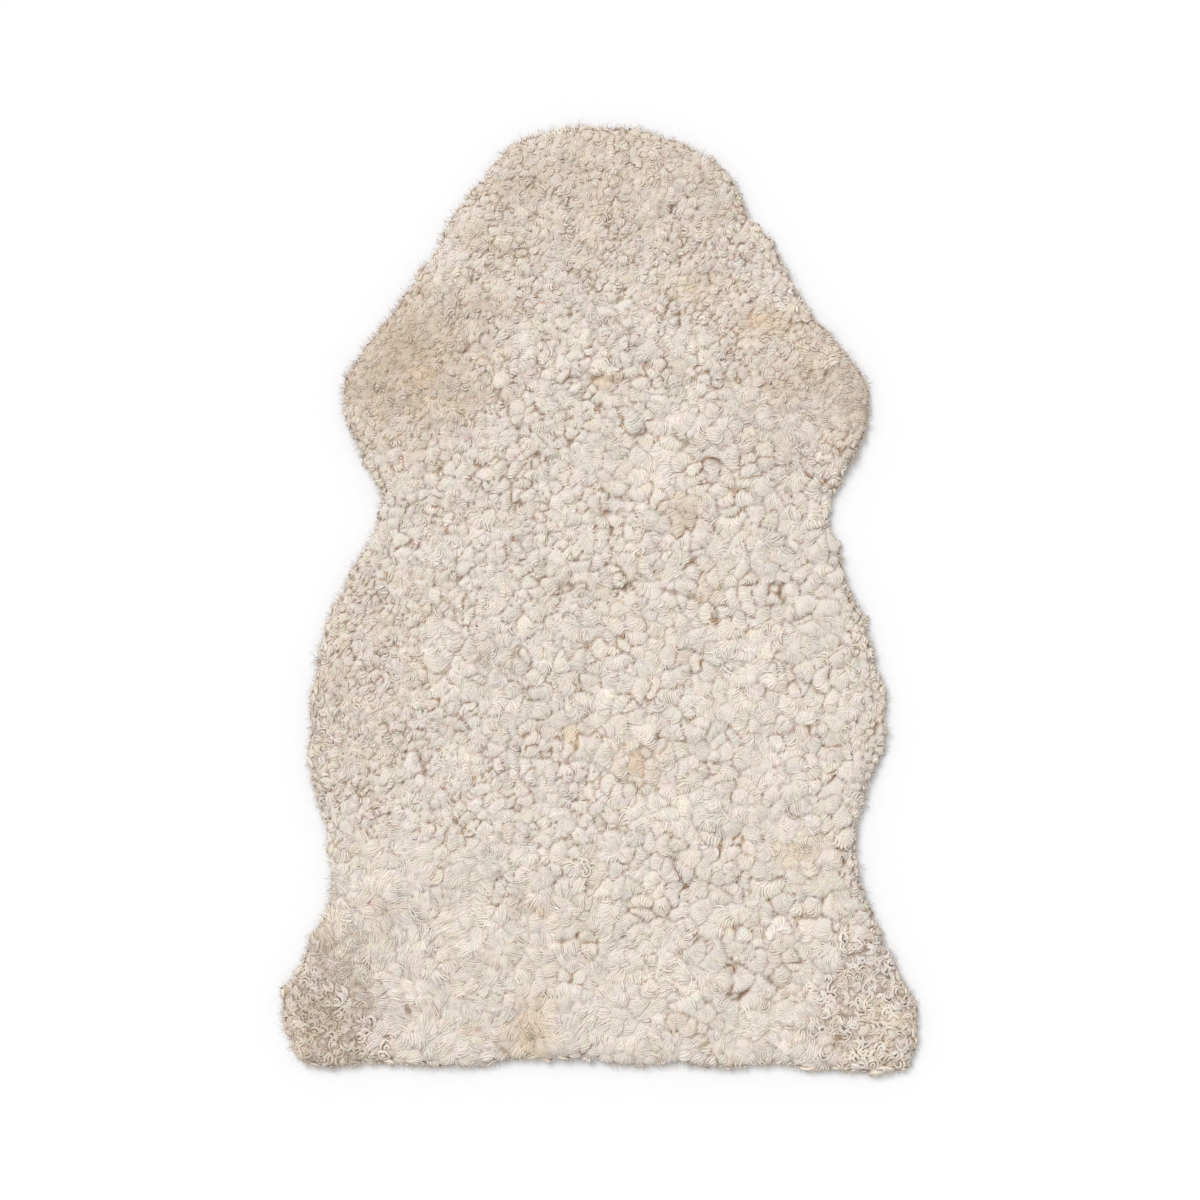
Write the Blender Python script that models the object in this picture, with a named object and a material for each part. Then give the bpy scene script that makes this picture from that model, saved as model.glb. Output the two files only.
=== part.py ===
"""A whole sheepskin rug with short curly wool, lying flat with the wool side up.

The pelt is one piece, the hide with the wool still growing from it, so it is one closed
solid: a lumpy slab with a flat underside and a row of wool locks all round its rim.
Metres, +Z up. The head points to +Y and the tail to -Y. The origin is on the floor, at
the centre of the rug's outline.
"""

import math
import random

import bmesh
import bpy
import numpy as np
from mathutils import Vector, noise
from mathutils.geometry import delaunay_2d_cdt

MM = 0.001

# Driving dimensions, in millimetres
RUG_LENGTH = 900.0  # head to tail, over the locks
RUG_WIDTH = 606.0  # across the hind legs, over the locks
LOCK_COUNT = 208  # locks of wool round the rim
LOCK_STRAY = 0.22  # share of the step from lock to lock by which one strays
LOCK_REACH = 7.5  # how far a lock stands out past the slab
TUFT_GAP = 14.9  # the least distance from one tuft's crest to the next
TUFT_TRIES = 20000  # places tried for a crest
TUFT_LEAN = 3.2  # how far a tuft's crest leans with the lie of the wool
LEAN_LENGTH = 110.0  # over which the lie of the wool turns
RIM_GAP = 8.0  # the least distance from a crest to the rim's first ring
MEETING_GAP = 6.0  # the least distance between two low points
CREST_HEIGHT = 23.0  # of the tufts above the floor
VALLEY_HEIGHT = 16.4  # of the partings between the tufts
CREST_SPREAD = 1.8  # from one tuft to the next
VALLEY_SPREAD = 0.8  # from one low point to the next
SWELL = 1.6  # slow rise and fall of the fleece
SWELL_LENGTH = 95.0
SCALLOP = 1.8  # waviness of the rim
SCALLOP_LENGTH = 26.0
SEED = 41
INSIDE_ONLY = 1  # the triangulation keeps only what lies within its ring
SAME_PLACE = 0.0001  # points nearer than that are one

WOOL_COLOUR = (0.74, 0.65, 0.55, 1.0)
WOOL_ROUGHNESS = 0.95

# The rug's outline over the locks, clockwise from the crown of the head, in millimetres from its centre
OUTLINE_COLUMNS = ("place", "x", "y")
OUTLINE = (
    ("crown", -9, 449),
    ("head right", 62, 440),
    ("brow right", 130, 397),
    ("temple right", 138, 370),
    ("cheek right", 168, 334),
    ("shoulder right", 200, 275),
    ("foreleg top right", 247, 222),
    ("foreleg tip right", 260, 183),
    ("foreleg low right", 243, 129),
    ("neck of the waist right", 218, 94),
    ("rib right", 234, 28),
    ("rib end right", 252, -14),
    ("belly right", 264, -56),
    ("hip right", 273, -132),
    ("loin right", 251, -194),
    ("flank right", 244, -229),
    ("thigh right", 256, -283),
    ("hind leg top right", 282, -344),
    ("hind leg tip right", 302, -385),
    ("hind leg end right", 302, -420),
    ("hind corner right", 294, -445),
    ("hind heel right", 268, -449),
    ("tail edge right", 203, -446),
    ("tail hollow right", 159, -440),
    ("tail swell right", 110, -446),
    ("tail hollow middle", 68, -439),
    ("tail swell middle", 38, -443),
    ("tail hollow left", -37, -436),
    ("tail swell left", -141, -445),
    ("tail edge left", -216, -442),
    ("hind heel left", -268, -445),
    ("hind corner left", -289, -434),
    ("hind leg end left", -299, -410),
    ("hind leg tip left", -303, -380),
    ("hind leg top left", -282, -335),
    ("thigh left", -257, -278),
    ("flank left", -261, -217),
    ("loin left", -271, -186),
    ("hip left", -277, -137),
    ("belly left", -267, -48),
    ("rib left", -239, 23),
    ("neck of the waist left", -209, 82),
    ("armpit left", -214, 116),
    ("foreleg low left", -234, 146),
    ("foreleg tip left", -246, 198),
    ("foreleg top left", -236, 226),
    ("shoulder left", -211, 256),
    ("cheek left", -160, 328),
    ("temple left", -138, 366),
    ("brow left", -114, 396),
    ("head left", -72, 438),
)

# The slab's section at its rim, from the fleece down to the underside: how far each ring lies
# inside the outline, its height above the floor, and how much it rises and falls with the wool
RIM_COLUMNS = ("ring", "inset", "height", "lumps")
RIM = (
    ("fleece", 15.0, 19.0, 3.4),
    ("shoulder", 9.0, 15.8, 2.4),
    ("roots above", 6.9, 12.2, 1.2),
    ("roots below", 6.5, 4.6, 0.6),
    ("hide edge", 10.0, 0.0, 0.0),
    ("hide", 58.0, 0.0, 0.0),
)
ROOT_RING = "roots below"  # the locks grow between this ring and the one above it
LUMP_LENGTH = 13.0  # from one lump of the rim to the next
INSET_PER_PASS = 4.0  # a ring further in has its normals smoothed once more for each such step

# Where the hide's edge lifts off the floor, along the tail: the middle of the lift, its half width
# and its height
LIFT_COLUMNS = ("x", "half_width", "height")
LIFTS = (
    (-37, 62, 5.0),
    (66, 34, 4.0),
    (160, 38, 3.5),
)
LIFT_DEPTH = 55.0  # how far a lift reaches in from the tail edge

# One lock, from its root out: the share of its reach, its size as a share of the root's, the
# share of the root's height above the floor and the share of its swing along the rim
LOCK_COLUMNS = ("out", "size", "rise", "swing")
LOCK_SECTIONS = (
    (0.55, 0.80, 0.92, 0.25),
    (1.0, 0.46, 0.62, 1.0),
)
LOCK_SWING = 5.0  # how far a tip can swing along the rim
SWING_LENGTH = 60.0  # over which the swing turns from one way to the other
LOCK_REACH_SPREAD = 0.48  # share by which the reach differs from lock to lock
LOCK_SIZE_SPREAD = 0.16  # share by which a lock is thinner than its neighbours
FLOOR_GAP = 0.4  # the least height of a lock over the floor


def table(columns, rows):
    """The rows as dictionaries, by the names of the columns."""
    return [dict(zip(columns, row)) for row in rows]


def clear_scene():
    """Removes what the scene holds."""
    for obj in list(bpy.data.objects):
        bpy.data.objects.remove(obj)


def wool_material():
    """The slab's plain off-white wool."""
    wool = bpy.data.materials.new("wool")
    wool.use_nodes = True
    shader = wool.node_tree.nodes["Principled BSDF"]
    shader.inputs["Base Color"].default_value = WOOL_COLOUR
    shader.inputs["Roughness"].default_value = WOOL_ROUGHNESS
    shader.inputs["Metallic"].default_value = 0.0
    return wool


def smooth_outline():
    """The outline as a closed line of many points, from a curve through the table's points."""
    curve = bpy.data.curves.new("outline", "CURVE")
    curve.dimensions = "2D"
    curve.fill_mode = "NONE"
    spline = curve.splines.new("BEZIER")
    spline.bezier_points.add(len(OUTLINE) - 1)
    for point, row in zip(spline.bezier_points, table(OUTLINE_COLUMNS, OUTLINE)):
        point.co = (row["x"], row["y"], 0)
        point.handle_left_type = point.handle_right_type = "AUTO"
    spline.use_cyclic_u = True
    guide = bpy.data.objects.new("outline", curve)
    bpy.context.scene.collection.objects.link(guide)
    bpy.context.view_layer.update()
    mesh = bpy.data.meshes.new_from_object(guide.evaluated_get(bpy.context.evaluated_depsgraph_get()))
    line = np.array([vertex.co[:2] for vertex in mesh.vertices])
    bpy.data.objects.remove(guide)
    bpy.data.meshes.remove(mesh)
    return line


def spaced(line, count, rng):
    """That many points along a closed line, at nearly equal steps."""
    closed = np.vstack([line, line[:1]])
    steps = np.linalg.norm(np.diff(closed, axis=0), axis=1)
    along = np.concatenate([[0.0], np.cumsum(steps)])
    stray = np.array([rng.uniform(0, 1) for _ in range(count)]) * LOCK_STRAY
    wanted = (np.arange(count) + stray) * along[-1] / count
    return np.column_stack([np.interp(wanted, along, closed[:, axis]) for axis in (0, 1)])


def outward_normals(line):
    """Unit normals of a closed line that runs clockwise, pointing out of it."""
    tangent = np.roll(line, -1, axis=0) - np.roll(line, 1, axis=0)
    normal = np.column_stack([-tangent[:, 1], tangent[:, 0]])
    return normal / np.linalg.norm(normal, axis=1, keepdims=True)


def rim_stations(rng):
    """The places round the rim, one for each lock, and their outward normals."""
    line = spaced(smooth_outline(), LOCK_COUNT, rng)
    normal = outward_normals(line)
    wave = [noise.noise(Vector((x, y, SEED)) / SCALLOP_LENGTH) for x, y in line]
    line = line + normal * (SCALLOP * np.array(wave))[:, None]
    size = line.max(axis=0) - line.min(axis=0)
    line = (line - (line.max(axis=0) + line.min(axis=0)) / 2) * (RUG_WIDTH, RUG_LENGTH) / size
    return line, outward_normals(line)


def inset_line(line, normal, inset):
    """The line moved in, with its normals smoothed first so that tight bends don't fold over."""
    for _ in range(int(inset / INSET_PER_PASS)):
        normal = (np.roll(normal, 1, axis=0) + 2 * normal + np.roll(normal, -1, axis=0)) / 4
    normal = normal / np.linalg.norm(normal, axis=1, keepdims=True)
    return line - normal * inset


def ring_height(row, x, y):
    """A rim ring's height at a place."""
    lump = noise.noise(Vector((x, y, 2 * SEED + row["height"])) / LUMP_LENGTH)
    return row["height"] + row["lumps"] * lump + hide_lift(x, y)


def hide_lift(x, y):
    """How far the hide stands off the floor at a place near the tail edge."""
    inward = max(0.0, 1 - abs(y + RUG_LENGTH / 2) / LIFT_DEPTH)
    lift = 0.0
    for row in table(LIFT_COLUMNS, LIFTS):
        across = abs(x - row["x"]) / row["half_width"]
        if across < 1:
            lift += row["height"] * (0.5 + 0.5 * math.cos(math.pi * across))
    return lift * inward


def inside(points, line):
    """Which points lie inside a closed line: a ray to the right crosses it an odd number of times."""
    x, y = points[:, :1], points[:, 1:]
    here, there = line, np.roll(line, -1, axis=0)
    climb = there[:, 1] - here[:, 1]
    spans = (here[:, 1] > y) != (there[:, 1] > y)
    right_of = (there[:, 0] - here[:, 0]) * (y - here[:, 1]) - (x - here[:, 0]) * climb
    crossings = spans & (right_of * np.sign(climb) > 0)
    return crossings.sum(axis=1) % 2 == 1


def far_from(points, line, gap):
    """Which points lie at least that far from the points of a line."""
    away = np.linalg.norm(points[:, None] - line[None], axis=2)
    return away.min(axis=1) > gap


def apart(points, gap):
    """The points, without those that lie nearer than that to one kept before them."""
    kept = points[:1]
    for point in points[1:]:
        if far_from(point[None], kept, gap)[0]:
            kept = np.vstack([kept, point])
    return kept


def tuft_crests(line, rng):
    """The crest of each tuft: places strewn inside the line, none too near another."""
    half_width, half_length = RUG_WIDTH / 2, RUG_LENGTH / 2
    tried = [(rng.uniform(-1, 1) * half_width, rng.uniform(-1, 1) * half_length) for _ in range(TUFT_TRIES)]
    tried = np.array(tried)
    tried = tried[inside(tried, line)]
    return apart(tried[far_from(tried, line, RIM_GAP)], TUFT_GAP)


def lean(x, y):
    """Which way, and how far, the crest of a tuft leans over."""
    place = Vector((x, y, 3 * SEED)) / LEAN_LENGTH
    turn = math.pi * 2 * noise.noise(place)
    return TUFT_LEAN * math.sin(turn), -TUFT_LEAN * math.cos(turn)


def triangulated(points, ring_size):
    """The triangles between these points, of which the first ring_size are the closed line round them."""
    ring = list(range(ring_size))
    flat = [Vector(point) for point in points]
    places, _, faces, *_ = delaunay_2d_cdt(flat, [], [ring], INSIDE_ONLY, SAME_PLACE)
    return np.array([tuple(place) for place in places]), faces


def fleece_height(x, y, base, spread, rng):
    """The fleece's height at a crest or a parting, in millimetres above the floor."""
    swell = SWELL * noise.noise(Vector((x, y, -SEED)) / SWELL_LENGTH)
    return base + swell + rng.uniform(-1, 1) * spread + hide_lift(x, y)


def fleece_sheet(rings, rng):
    """The lumpy top of the slab as points and triangles: a crest for each tuft and a low point
    wherever three tufts meet."""
    rim = rings["fleece"]
    crests = tuft_crests(rim, rng)
    places, faces = triangulated(np.vstack([rim, crests]), len(rim))
    meetings = np.array([places[list(face)].mean(axis=0) for face in faces])
    meetings = apart(meetings[far_from(meetings, rim, MEETING_GAP)], MEETING_GAP)
    places, faces = triangulated(np.vstack([rim, crests, meetings]), len(rim))
    rim_row = table(RIM_COLUMNS, RIM)[0]
    corners = []
    for index, (x, y) in enumerate(places):
        if index < len(rim):
            corners.append((x, y, ring_height(rim_row, x, y)))
        elif index < len(rim) + len(crests):
            height = fleece_height(x, y, CREST_HEIGHT, CREST_SPREAD, rng)
            across, along = lean(x, y)
            corners.append((x + across, y + along, height))
        else:
            corners.append((x, y, fleece_height(x, y, VALLEY_HEIGHT, VALLEY_SPREAD, rng)))
    return corners, faces


def lock_number(face, station):
    """Which lock a face belongs to: the station at its root's near end."""
    ends = sorted({vertex[station] for vertex in face.verts})
    wraps = ends[-1] - ends[0] > 1
    return ends[-1] if wraps else ends[0]


class Lock:
    """One lock of wool at the rim: where it is rooted, which way it leans and how far it reaches."""

    def __init__(self, face, rng):
        self.root = face.calc_center_median()
        self.corners = [vertex.co - self.root for vertex in face.verts]
        self.out = Vector((face.normal.x, face.normal.y, 0)).normalized()
        along = Vector((-self.out.y, self.out.x, 0))
        self.swing = along * LOCK_SWING * noise.noise(self.root / SWING_LENGTH)
        self.reach = LOCK_REACH * (1 + rng.uniform(-1, 1) * LOCK_REACH_SPREAD)
        self.size = 1 - rng.random() * LOCK_SIZE_SPREAD

    def place(self, verts, section):
        """Moves the corners of the lock's end face to a section of the lock."""
        middle = self.root + self.out * self.reach * section["out"] + self.swing * section["swing"]
        middle.z = self.root.z * section["rise"]
        for vertex, corner in zip(verts, self.corners):
            vertex.co = middle + corner * section["size"] * self.size
            vertex.co.z = max(vertex.co.z, FLOOR_GAP)


def grow_locks(bm, faces, station, rng):
    """Pulls a lock of wool out of each face round the rim, from the table of its sections."""
    faces = sorted(faces, key=lambda face: lock_number(face, station))
    locks = {lock_number(face, station): Lock(face, rng) for face in faces}
    for section in table(LOCK_COLUMNS, LOCK_SECTIONS):
        faces = bmesh.ops.extrude_discrete_faces(bm, faces=faces)["faces"]
        for face in faces:
            lock = locks[lock_number(face, station)]
            lock.place(face.verts, section)


def pelt_mesh():
    """The pelt as one closed mesh, in millimetres."""
    rng = random.Random(SEED)
    line, normal = rim_stations(rng)
    rim = table(RIM_COLUMNS, RIM)
    rings = {row["ring"]: inset_line(line, normal, row["inset"]) for row in rim}

    places, faces = fleece_sheet(rings, rng)
    bm = bmesh.new()
    station = bm.verts.layers.int.new("station")
    verts = [bm.verts.new(place) for place in places]
    for number in range(LOCK_COUNT):
        verts[number][station] = number
    for face in faces:
        bm.faces.new([verts[corner] for corner in face])

    roots = []
    for row in rim[1:]:
        edges = [edge for edge in bm.edges if edge.is_boundary]
        grown = bmesh.ops.extrude_edge_only(bm, edges=edges)["geom"]
        for vertex in (item for item in grown if isinstance(item, bmesh.types.BMVert)):
            x, y = rings[row["ring"]][vertex[station]]
            vertex.co = (x, y, ring_height(row, x, y))
        if row["ring"] == ROOT_RING:
            roots = [item for item in grown if isinstance(item, bmesh.types.BMFace)]
    bmesh.ops.contextual_create(bm, geom=[edge for edge in bm.edges if edge.is_boundary])
    bmesh.ops.recalc_face_normals(bm, faces=bm.faces)
    grow_locks(bm, roots, station, rng)
    bmesh.ops.triangulate(bm, faces=bm.faces)
    return bm


def fit_to_size(bm):
    """Brings the mesh to the rug's length and width in metres, the centre of its base on the origin."""
    places = np.array([vertex.co for vertex in bm.verts])
    low, high = places.min(axis=0), places.max(axis=0)
    centre = Vector(((low[0] + high[0]) / 2, (low[1] + high[1]) / 2, low[2]))
    bmesh.ops.translate(bm, verts=bm.verts, vec=-centre)
    across, along = RUG_WIDTH / (high[0] - low[0]), RUG_LENGTH / (high[1] - low[1])
    bmesh.ops.scale(bm, verts=bm.verts, vec=(across * MM, along * MM, MM))


def main():
    """Builds the pelt in a collection of its own."""
    clear_scene()
    rug = bpy.data.collections.new("sheepskin_rug")
    bpy.context.scene.collection.children.link(rug)
    bm = pelt_mesh()
    fit_to_size(bm)
    mesh = bpy.data.meshes.new("pelt")
    bm.to_mesh(mesh)
    bm.free()
    mesh.materials.append(wool_material())
    mesh.shade_smooth()
    pelt = bpy.data.objects.new("pelt", mesh)
    rug.objects.link(pelt)


main()
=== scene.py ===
"""A whole sheepskin with short curly wool, lying flat on a pale floor with the wool side up.

The skin is dressed in layers, as it grew: the hide, a thin sheet of suede that lies on the
floor; the undercoat, a dense felted bed that fills the partings; the wisps, thousands of
tapered strands that lie side by side in tufts and curl as the photograph shows them: fine on
the head, plush on the shoulders, pebbled along the back, in large curls on the right side,
combed towards the tail and in tight ringlets at the hind corners; and the stray hairs that
soften the rim.
"""

from __future__ import annotations

import logging
import math
from dataclasses import dataclass, field, replace
from enum import Enum

import bmesh
import bpy
import numpy as np
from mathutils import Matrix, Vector, noise
from mathutils.bvhtree import BVHTree
from mathutils.kdtree import KDTree


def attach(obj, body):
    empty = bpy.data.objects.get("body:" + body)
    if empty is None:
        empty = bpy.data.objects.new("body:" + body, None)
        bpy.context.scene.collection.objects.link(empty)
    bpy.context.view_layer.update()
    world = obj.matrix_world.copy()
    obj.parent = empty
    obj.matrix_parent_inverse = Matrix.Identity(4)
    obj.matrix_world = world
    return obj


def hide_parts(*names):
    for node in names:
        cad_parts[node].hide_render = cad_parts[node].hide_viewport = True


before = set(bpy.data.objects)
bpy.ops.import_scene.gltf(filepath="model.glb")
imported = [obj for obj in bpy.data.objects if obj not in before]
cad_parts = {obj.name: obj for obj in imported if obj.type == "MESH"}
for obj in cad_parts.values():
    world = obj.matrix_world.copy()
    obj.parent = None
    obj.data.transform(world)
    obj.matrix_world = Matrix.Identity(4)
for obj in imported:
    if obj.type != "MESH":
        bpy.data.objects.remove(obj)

LOG = logging.getLogger("sheepskin")
MM = 0.001
PHOTO_SIDE_PX = 1200
MM_PER_PX = 0.9424
FLOOR_GAP_MM = 0.1
STAIN_SHARE = 0.6
NOISE_GAIN = 1.6

Colour = tuple[float, float, float, float]
Range = tuple[float, float]
Facts = dict[str, np.ndarray]
Socket = bpy.types.NodeSocket
Input = Socket | float | Colour


class Wool(Enum):
    """The kinds of wool that grow on different parts of the skin."""

    FINE = "fine"
    PEBBLE = "pebble"
    CURL = "curl"
    COMBED = "combed"
    PLUSH = "plush"
    RINGLET = "ringlet"


@dataclass(frozen=True)
class Habit:
    """How one kind of wool grows. Lengths are in millimetres and angles in degrees.

    Attributes:
        tuft_gap: the least distance between the middles of two tufts.
        strands: how many strands lie side by side in a tuft.
        pitch: the distance from one strand to the next.
        length: the length of a strand.
        turn: how far a strand turns from its root to its tip.
        wave: how far it swings one way and back, over its length.
        fan: the angle between one strand and the next.
        width: the width of a strand.
        crown: the height of a tuft over the partings round it.
        points: the points along a strand.
        stray: how far a tuft's direction strays from the lie of the wool.
        frizz: the share of the strands whose tips stand up.
        parting: how clearly the tufts are parted, from 0 to 1.
        stretch: how much further apart the tufts are across their strands than along them.
        proud: how far the middles of the strands stand out of the bed.
    """

    tuft_gap: float
    strands: int
    pitch: float
    length: float
    turn: float
    wave: float
    fan: float
    width: float
    crown: float
    points: int
    stray: float
    frizz: float
    parting: float
    stretch: float
    proud: float


HABITS: dict[Wool, Habit] = {
    Wool.FINE: Habit(6.4, 4, 2.2, 11.0, 120, 0, 12, 2.75, 3.6, 6, 85, 0.20, 1.00, 1.10, 0.25),
    Wool.PEBBLE: Habit(9.0, 9, 2.05, 13.0, 95, 0, 12, 2.6, 4.4, 5, 30, 0.15, 0.95, 1.20, 0.22),
    Wool.CURL: Habit(12.4, 13, 1.85, 19.0, 100, 25, 9, 2.45, 5.2, 7, 35, 0.10, 0.85, 1.20, 0.25),
    Wool.COMBED: Habit(10.2, 9, 1.75, 17.0, 35, 90, 4, 2.3, 3.4, 7, 20, 0.12, 0.60, 0.95, 0.25),
    Wool.PLUSH: Habit(4.4, 4, 1.5, 6.5, 10, 12, 8, 1.5, 1.7, 4, 30, 0.45, 0.30, 1.00, 0.20),
    Wool.RINGLET: Habit(7.0, 2, 2.6, 21.0, 250, 0, 0, 3.8, 2.6, 9, 180, 0.0, 1.0, 1.00, 0.0),
}


@dataclass(frozen=True)
class Spot:
    """A part of the skin with soft edges. Sizes are in millimetres.

    Attributes:
        x: how far its middle is to the right of the rug's middle.
        y: how far its middle is from the rug's middle towards the head.
        reach_x: how far it reaches to each side.
        reach_y: how far it reaches towards the head and the tail.
    """

    x: float
    y: float
    reach_x: float
    reach_y: float

    def nearness(self, places: np.ndarray) -> np.ndarray:
        """Works out how near places are to the middle of the spot.

        Args:
            places: places in metres, one row each.

        Returns:
            The nearness of each place, from 0 far off to 1 at the middle.
        """
        across = (places[:, 0] / MM - self.x) / self.reach_x
        along = (places[:, 1] / MM - self.y) / self.reach_y
        return np.exp(-(across**2) - along**2)


@dataclass(frozen=True)
class Patch(Spot):
    """A part of the skin where one kind of wool grows.

    Attributes:
        wool: the kind of wool.
        pull: how strongly it holds its place against its neighbours.
    """

    wool: Wool = Wool.FINE
    pull: float = 1.0


PATCHES: tuple[Patch, ...] = (
    Patch(0, 360, 190, 120, Wool.FINE),
    Patch(-150, 250, 90, 90, Wool.FINE, 0.9),
    Patch(170, 260, 80, 90, Wool.FINE, 0.9),
    Patch(10, 220, 120, 70, Wool.PEBBLE, 0.95),
    Patch(-198, 228, 50, 26, Wool.PLUSH, 1.3),
    Patch(-205, 170, 60, 30, Wool.FINE, 1.2),
    Patch(235, 188, 42, 38, Wool.PLUSH, 1.3),
    Patch(215, 135, 60, 25, Wool.FINE, 1.1),
    Patch(-90, 75, 130, 90, Wool.PEBBLE, 1.05),
    Patch(110, 120, 120, 70, Wool.CURL, 0.95),
    Patch(140, -110, 110, 190, Wool.CURL, 1.15),
    Patch(255, -120, 32, 200, Wool.FINE, 1.2),
    Patch(-225, -80, 75, 130, Wool.FINE, 1.05),
    Patch(-80, -80, 110, 80, Wool.CURL, 0.85),
    Patch(-110, -160, 110, 80, Wool.PEBBLE, 0.95),
    Patch(-190, -290, 75, 90, Wool.COMBED, 1.15),
    Patch(-60, -370, 150, 75, Wool.COMBED, 1.1),
    Patch(110, -330, 110, 70, Wool.CURL, 0.95),
    Patch(120, -420, 110, 30, Wool.COMBED, 1.05),
    Patch(-268, -95, 24, 110, Wool.RINGLET, 1.05),
    Patch(262, -110, 22, 110, Wool.RINGLET, 1.0),
    Patch(-276, -404, 58, 58, Wool.RINGLET, 1.15),
    Patch(270, -392, 62, 70, Wool.RINGLET, 1.15),
)


@dataclass(frozen=True)
class Tint(Spot):
    """A part of the skin that is coloured otherwise than the rest.

    Attributes:
        amount: how strong the colour is at its middle, from 0 to 1.
    """

    amount: float = 1.0


TAN_PARTS: tuple[Tint, ...] = (
    Tint(0, 390, 190, 90, 0.42),
    Tint(-83, 384, 60, 13, 0.70),
    Tint(-101, 329, 45, 11, 0.55),
    Tint(-119, 275, 58, 14, 0.70),
    Tint(10, 432, 90, 13, 0.65),
    Tint(135, 366, 42, 12, 0.60),
    Tint(-190, 225, 85, 85, 0.95),
    Tint(-190, 235, 32, 14, 0.95),
    Tint(-125, 186, 36, 13, 0.80),
    Tint(-212, 180, 30, 22, 0.85),
    Tint(215, 215, 85, 75, 0.52),
    Tint(212, 234, 24, 16, 0.70),
    Tint(239, 182, 26, 36, 0.70),
    Tint(-235, -60, 80, 160, 0.28),
    Tint(-255, -326, 18, 20, 0.65),
    Tint(-205, -289, 12, 10, 0.60),
    Tint(-63, -291, 22, 9, 0.65),
    Tint(-111, -340, 18, 7, 0.55),
    Tint(-270, -400, 62, 60, 0.70),
    Tint(268, -395, 62, 66, 0.34),
    Tint(-70, -380, 170, 80, 0.10),
)

STAINS: tuple[Tint, ...] = (
    Tint(38, -151, 20, 13, 0.8),
    Tint(73, -56, 8, 6, 0.8),
    Tint(60, -35, 9, 7, 0.6),
    Tint(106, 7, 10, 8, 0.5),
    Tint(-16, -126, 28, 9, 0.6),
    Tint(76, 83, 12, 12, 0.8),
    Tint(10, 206, 14, 7, 0.7),
    Tint(189, -236, 22, 16, 0.6),
    Tint(-65, -406, 18, 26, 0.8),
    Tint(92, 291, 22, 16, 0.6),
    Tint(150, 260, 26, 13, 0.7),
    Tint(-162, 208, 15, 9, 0.5),
)


@dataclass(frozen=True)
class Fold:
    """A line along which the wool parts, in millimetres from the rug's middle.

    Attributes:
        x1, y1: one end of the line.
        x2, y2: its other end.
        depth: how deep the wool is parted.
        reach: how far the parting reaches to each side of the line.
    """

    x1: float
    y1: float
    x2: float
    y2: float
    depth: float = 2.2
    reach: float = 2.4


FOLDS: tuple[Fold, ...] = (
    Fold(-28, 206, 38, 210),
    Fold(-20, 133, 9, 133, 1.8),
    Fold(145, 199, 188, 206, 3.0),
    Fold(188, 206, 226, 215, 3.0),
    Fold(96, 166, 115, 164),
    Fold(8, 81, 76, 90),
    Fold(-37, 13, 55, 12),
    Fold(55, 12, 95, 1),
    Fold(-114, -400, -93, -417),
    Fold(-93, -417, -86, -433),
    Fold(-43, -320, -12, -320, 1.5),
    Fold(-185, -358, -179, -389, 1.5),
)


@dataclass(frozen=True)
class Drift:
    """Smooth noise over the skin.

    Attributes:
        length: how far it is from one swell to the next, in millimetres.
        seed: tells one drift from another.
        amount: how strong it is.
    """

    length: float
    seed: float
    amount: float = 1.0

    def at(self, places: np.ndarray) -> np.ndarray:
        """Works out the noise.

        Args:
            places: places in metres, one row each.

        Returns:
            The noise at each place, from about minus its amount to its amount.
        """
        spots = places[:, :2] * (1 / (self.length * MM))
        swells = np.array([noise.noise(Vector((x, y, self.seed))) for x, y in spots])
        return swells * NOISE_GAIN * self.amount


@dataclass(frozen=True)
class Trait:
    """A number that changes over the skin and strays from tuft to tuft.

    Attributes:
        mean: what it is on the whole.
        drift: how it changes over the skin.
        stray: how far it strays from tuft to tuft.
        least, most: what it is kept between.
    """

    mean: float
    drift: Drift
    stray: float
    least: float = 0.0
    most: float = 1.0

    def drawn(self, places: np.ndarray, rng: np.random.Generator) -> np.ndarray:
        """Draws the number for each place.

        Args:
            places: places in metres, one row each.
            rng: the random numbers.

        Returns:
            The numbers.
        """
        value = self.mean + self.drift.at(places) + rng.normal(0, self.stray, len(places))
        return np.clip(value, self.least, self.most)


FOLD_WOBBLE = Drift(10, 80, 4.0)
FOLD_FADING = Drift(16, 83)
FOLD_STRENGTH = 0.9


def tinted(parts: tuple[Tint, ...], places: np.ndarray) -> np.ndarray:
    """Works out how strongly a set of tints colours each place.

    Args:
        parts: the tinted parts.
        places: places in metres, one row each.

    Returns:
        The strength at each place, from 0 to 1.
    """
    strengths = [part.amount * part.nearness(places) for part in parts]
    return np.clip(np.max(strengths, axis=0), 0, 1)


def parted(places: np.ndarray) -> tuple[np.ndarray, np.ndarray]:
    """Works out how the folds part the wool.

    Args:
        places: places in metres, one row each.

    Returns:
        How deep the wool is parted at each place, in millimetres, and how near the place is
        to a fold, from 0 to 1.
    """
    depth = np.zeros(len(places))
    nearness = np.zeros(len(places))
    wobble = FOLD_WOBBLE.at(places)
    strength = np.clip(FOLD_STRENGTH + FOLD_FADING.at(places), 0, 1)
    for fold in FOLDS:
        start = np.array([fold.x1, fold.y1])
        way = np.array([fold.x2, fold.y2]) - start
        offset = places[:, :2] / MM - start
        share = np.clip(offset @ way / (way @ way), 0, 1)
        away = np.linalg.norm(offset - share[:, None] * way, axis=1) + wobble
        close = strength * np.exp(-((away / fold.reach) ** 2))
        depth = np.maximum(depth, fold.depth * close)
        nearness = np.maximum(nearness, close)
    return depth, nearness


def unit(vectors: np.ndarray) -> np.ndarray:
    """The vectors, one row each, at length 1."""
    return vectors / np.maximum(np.linalg.norm(vectors, axis=1, keepdims=True), 1e-12)


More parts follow.
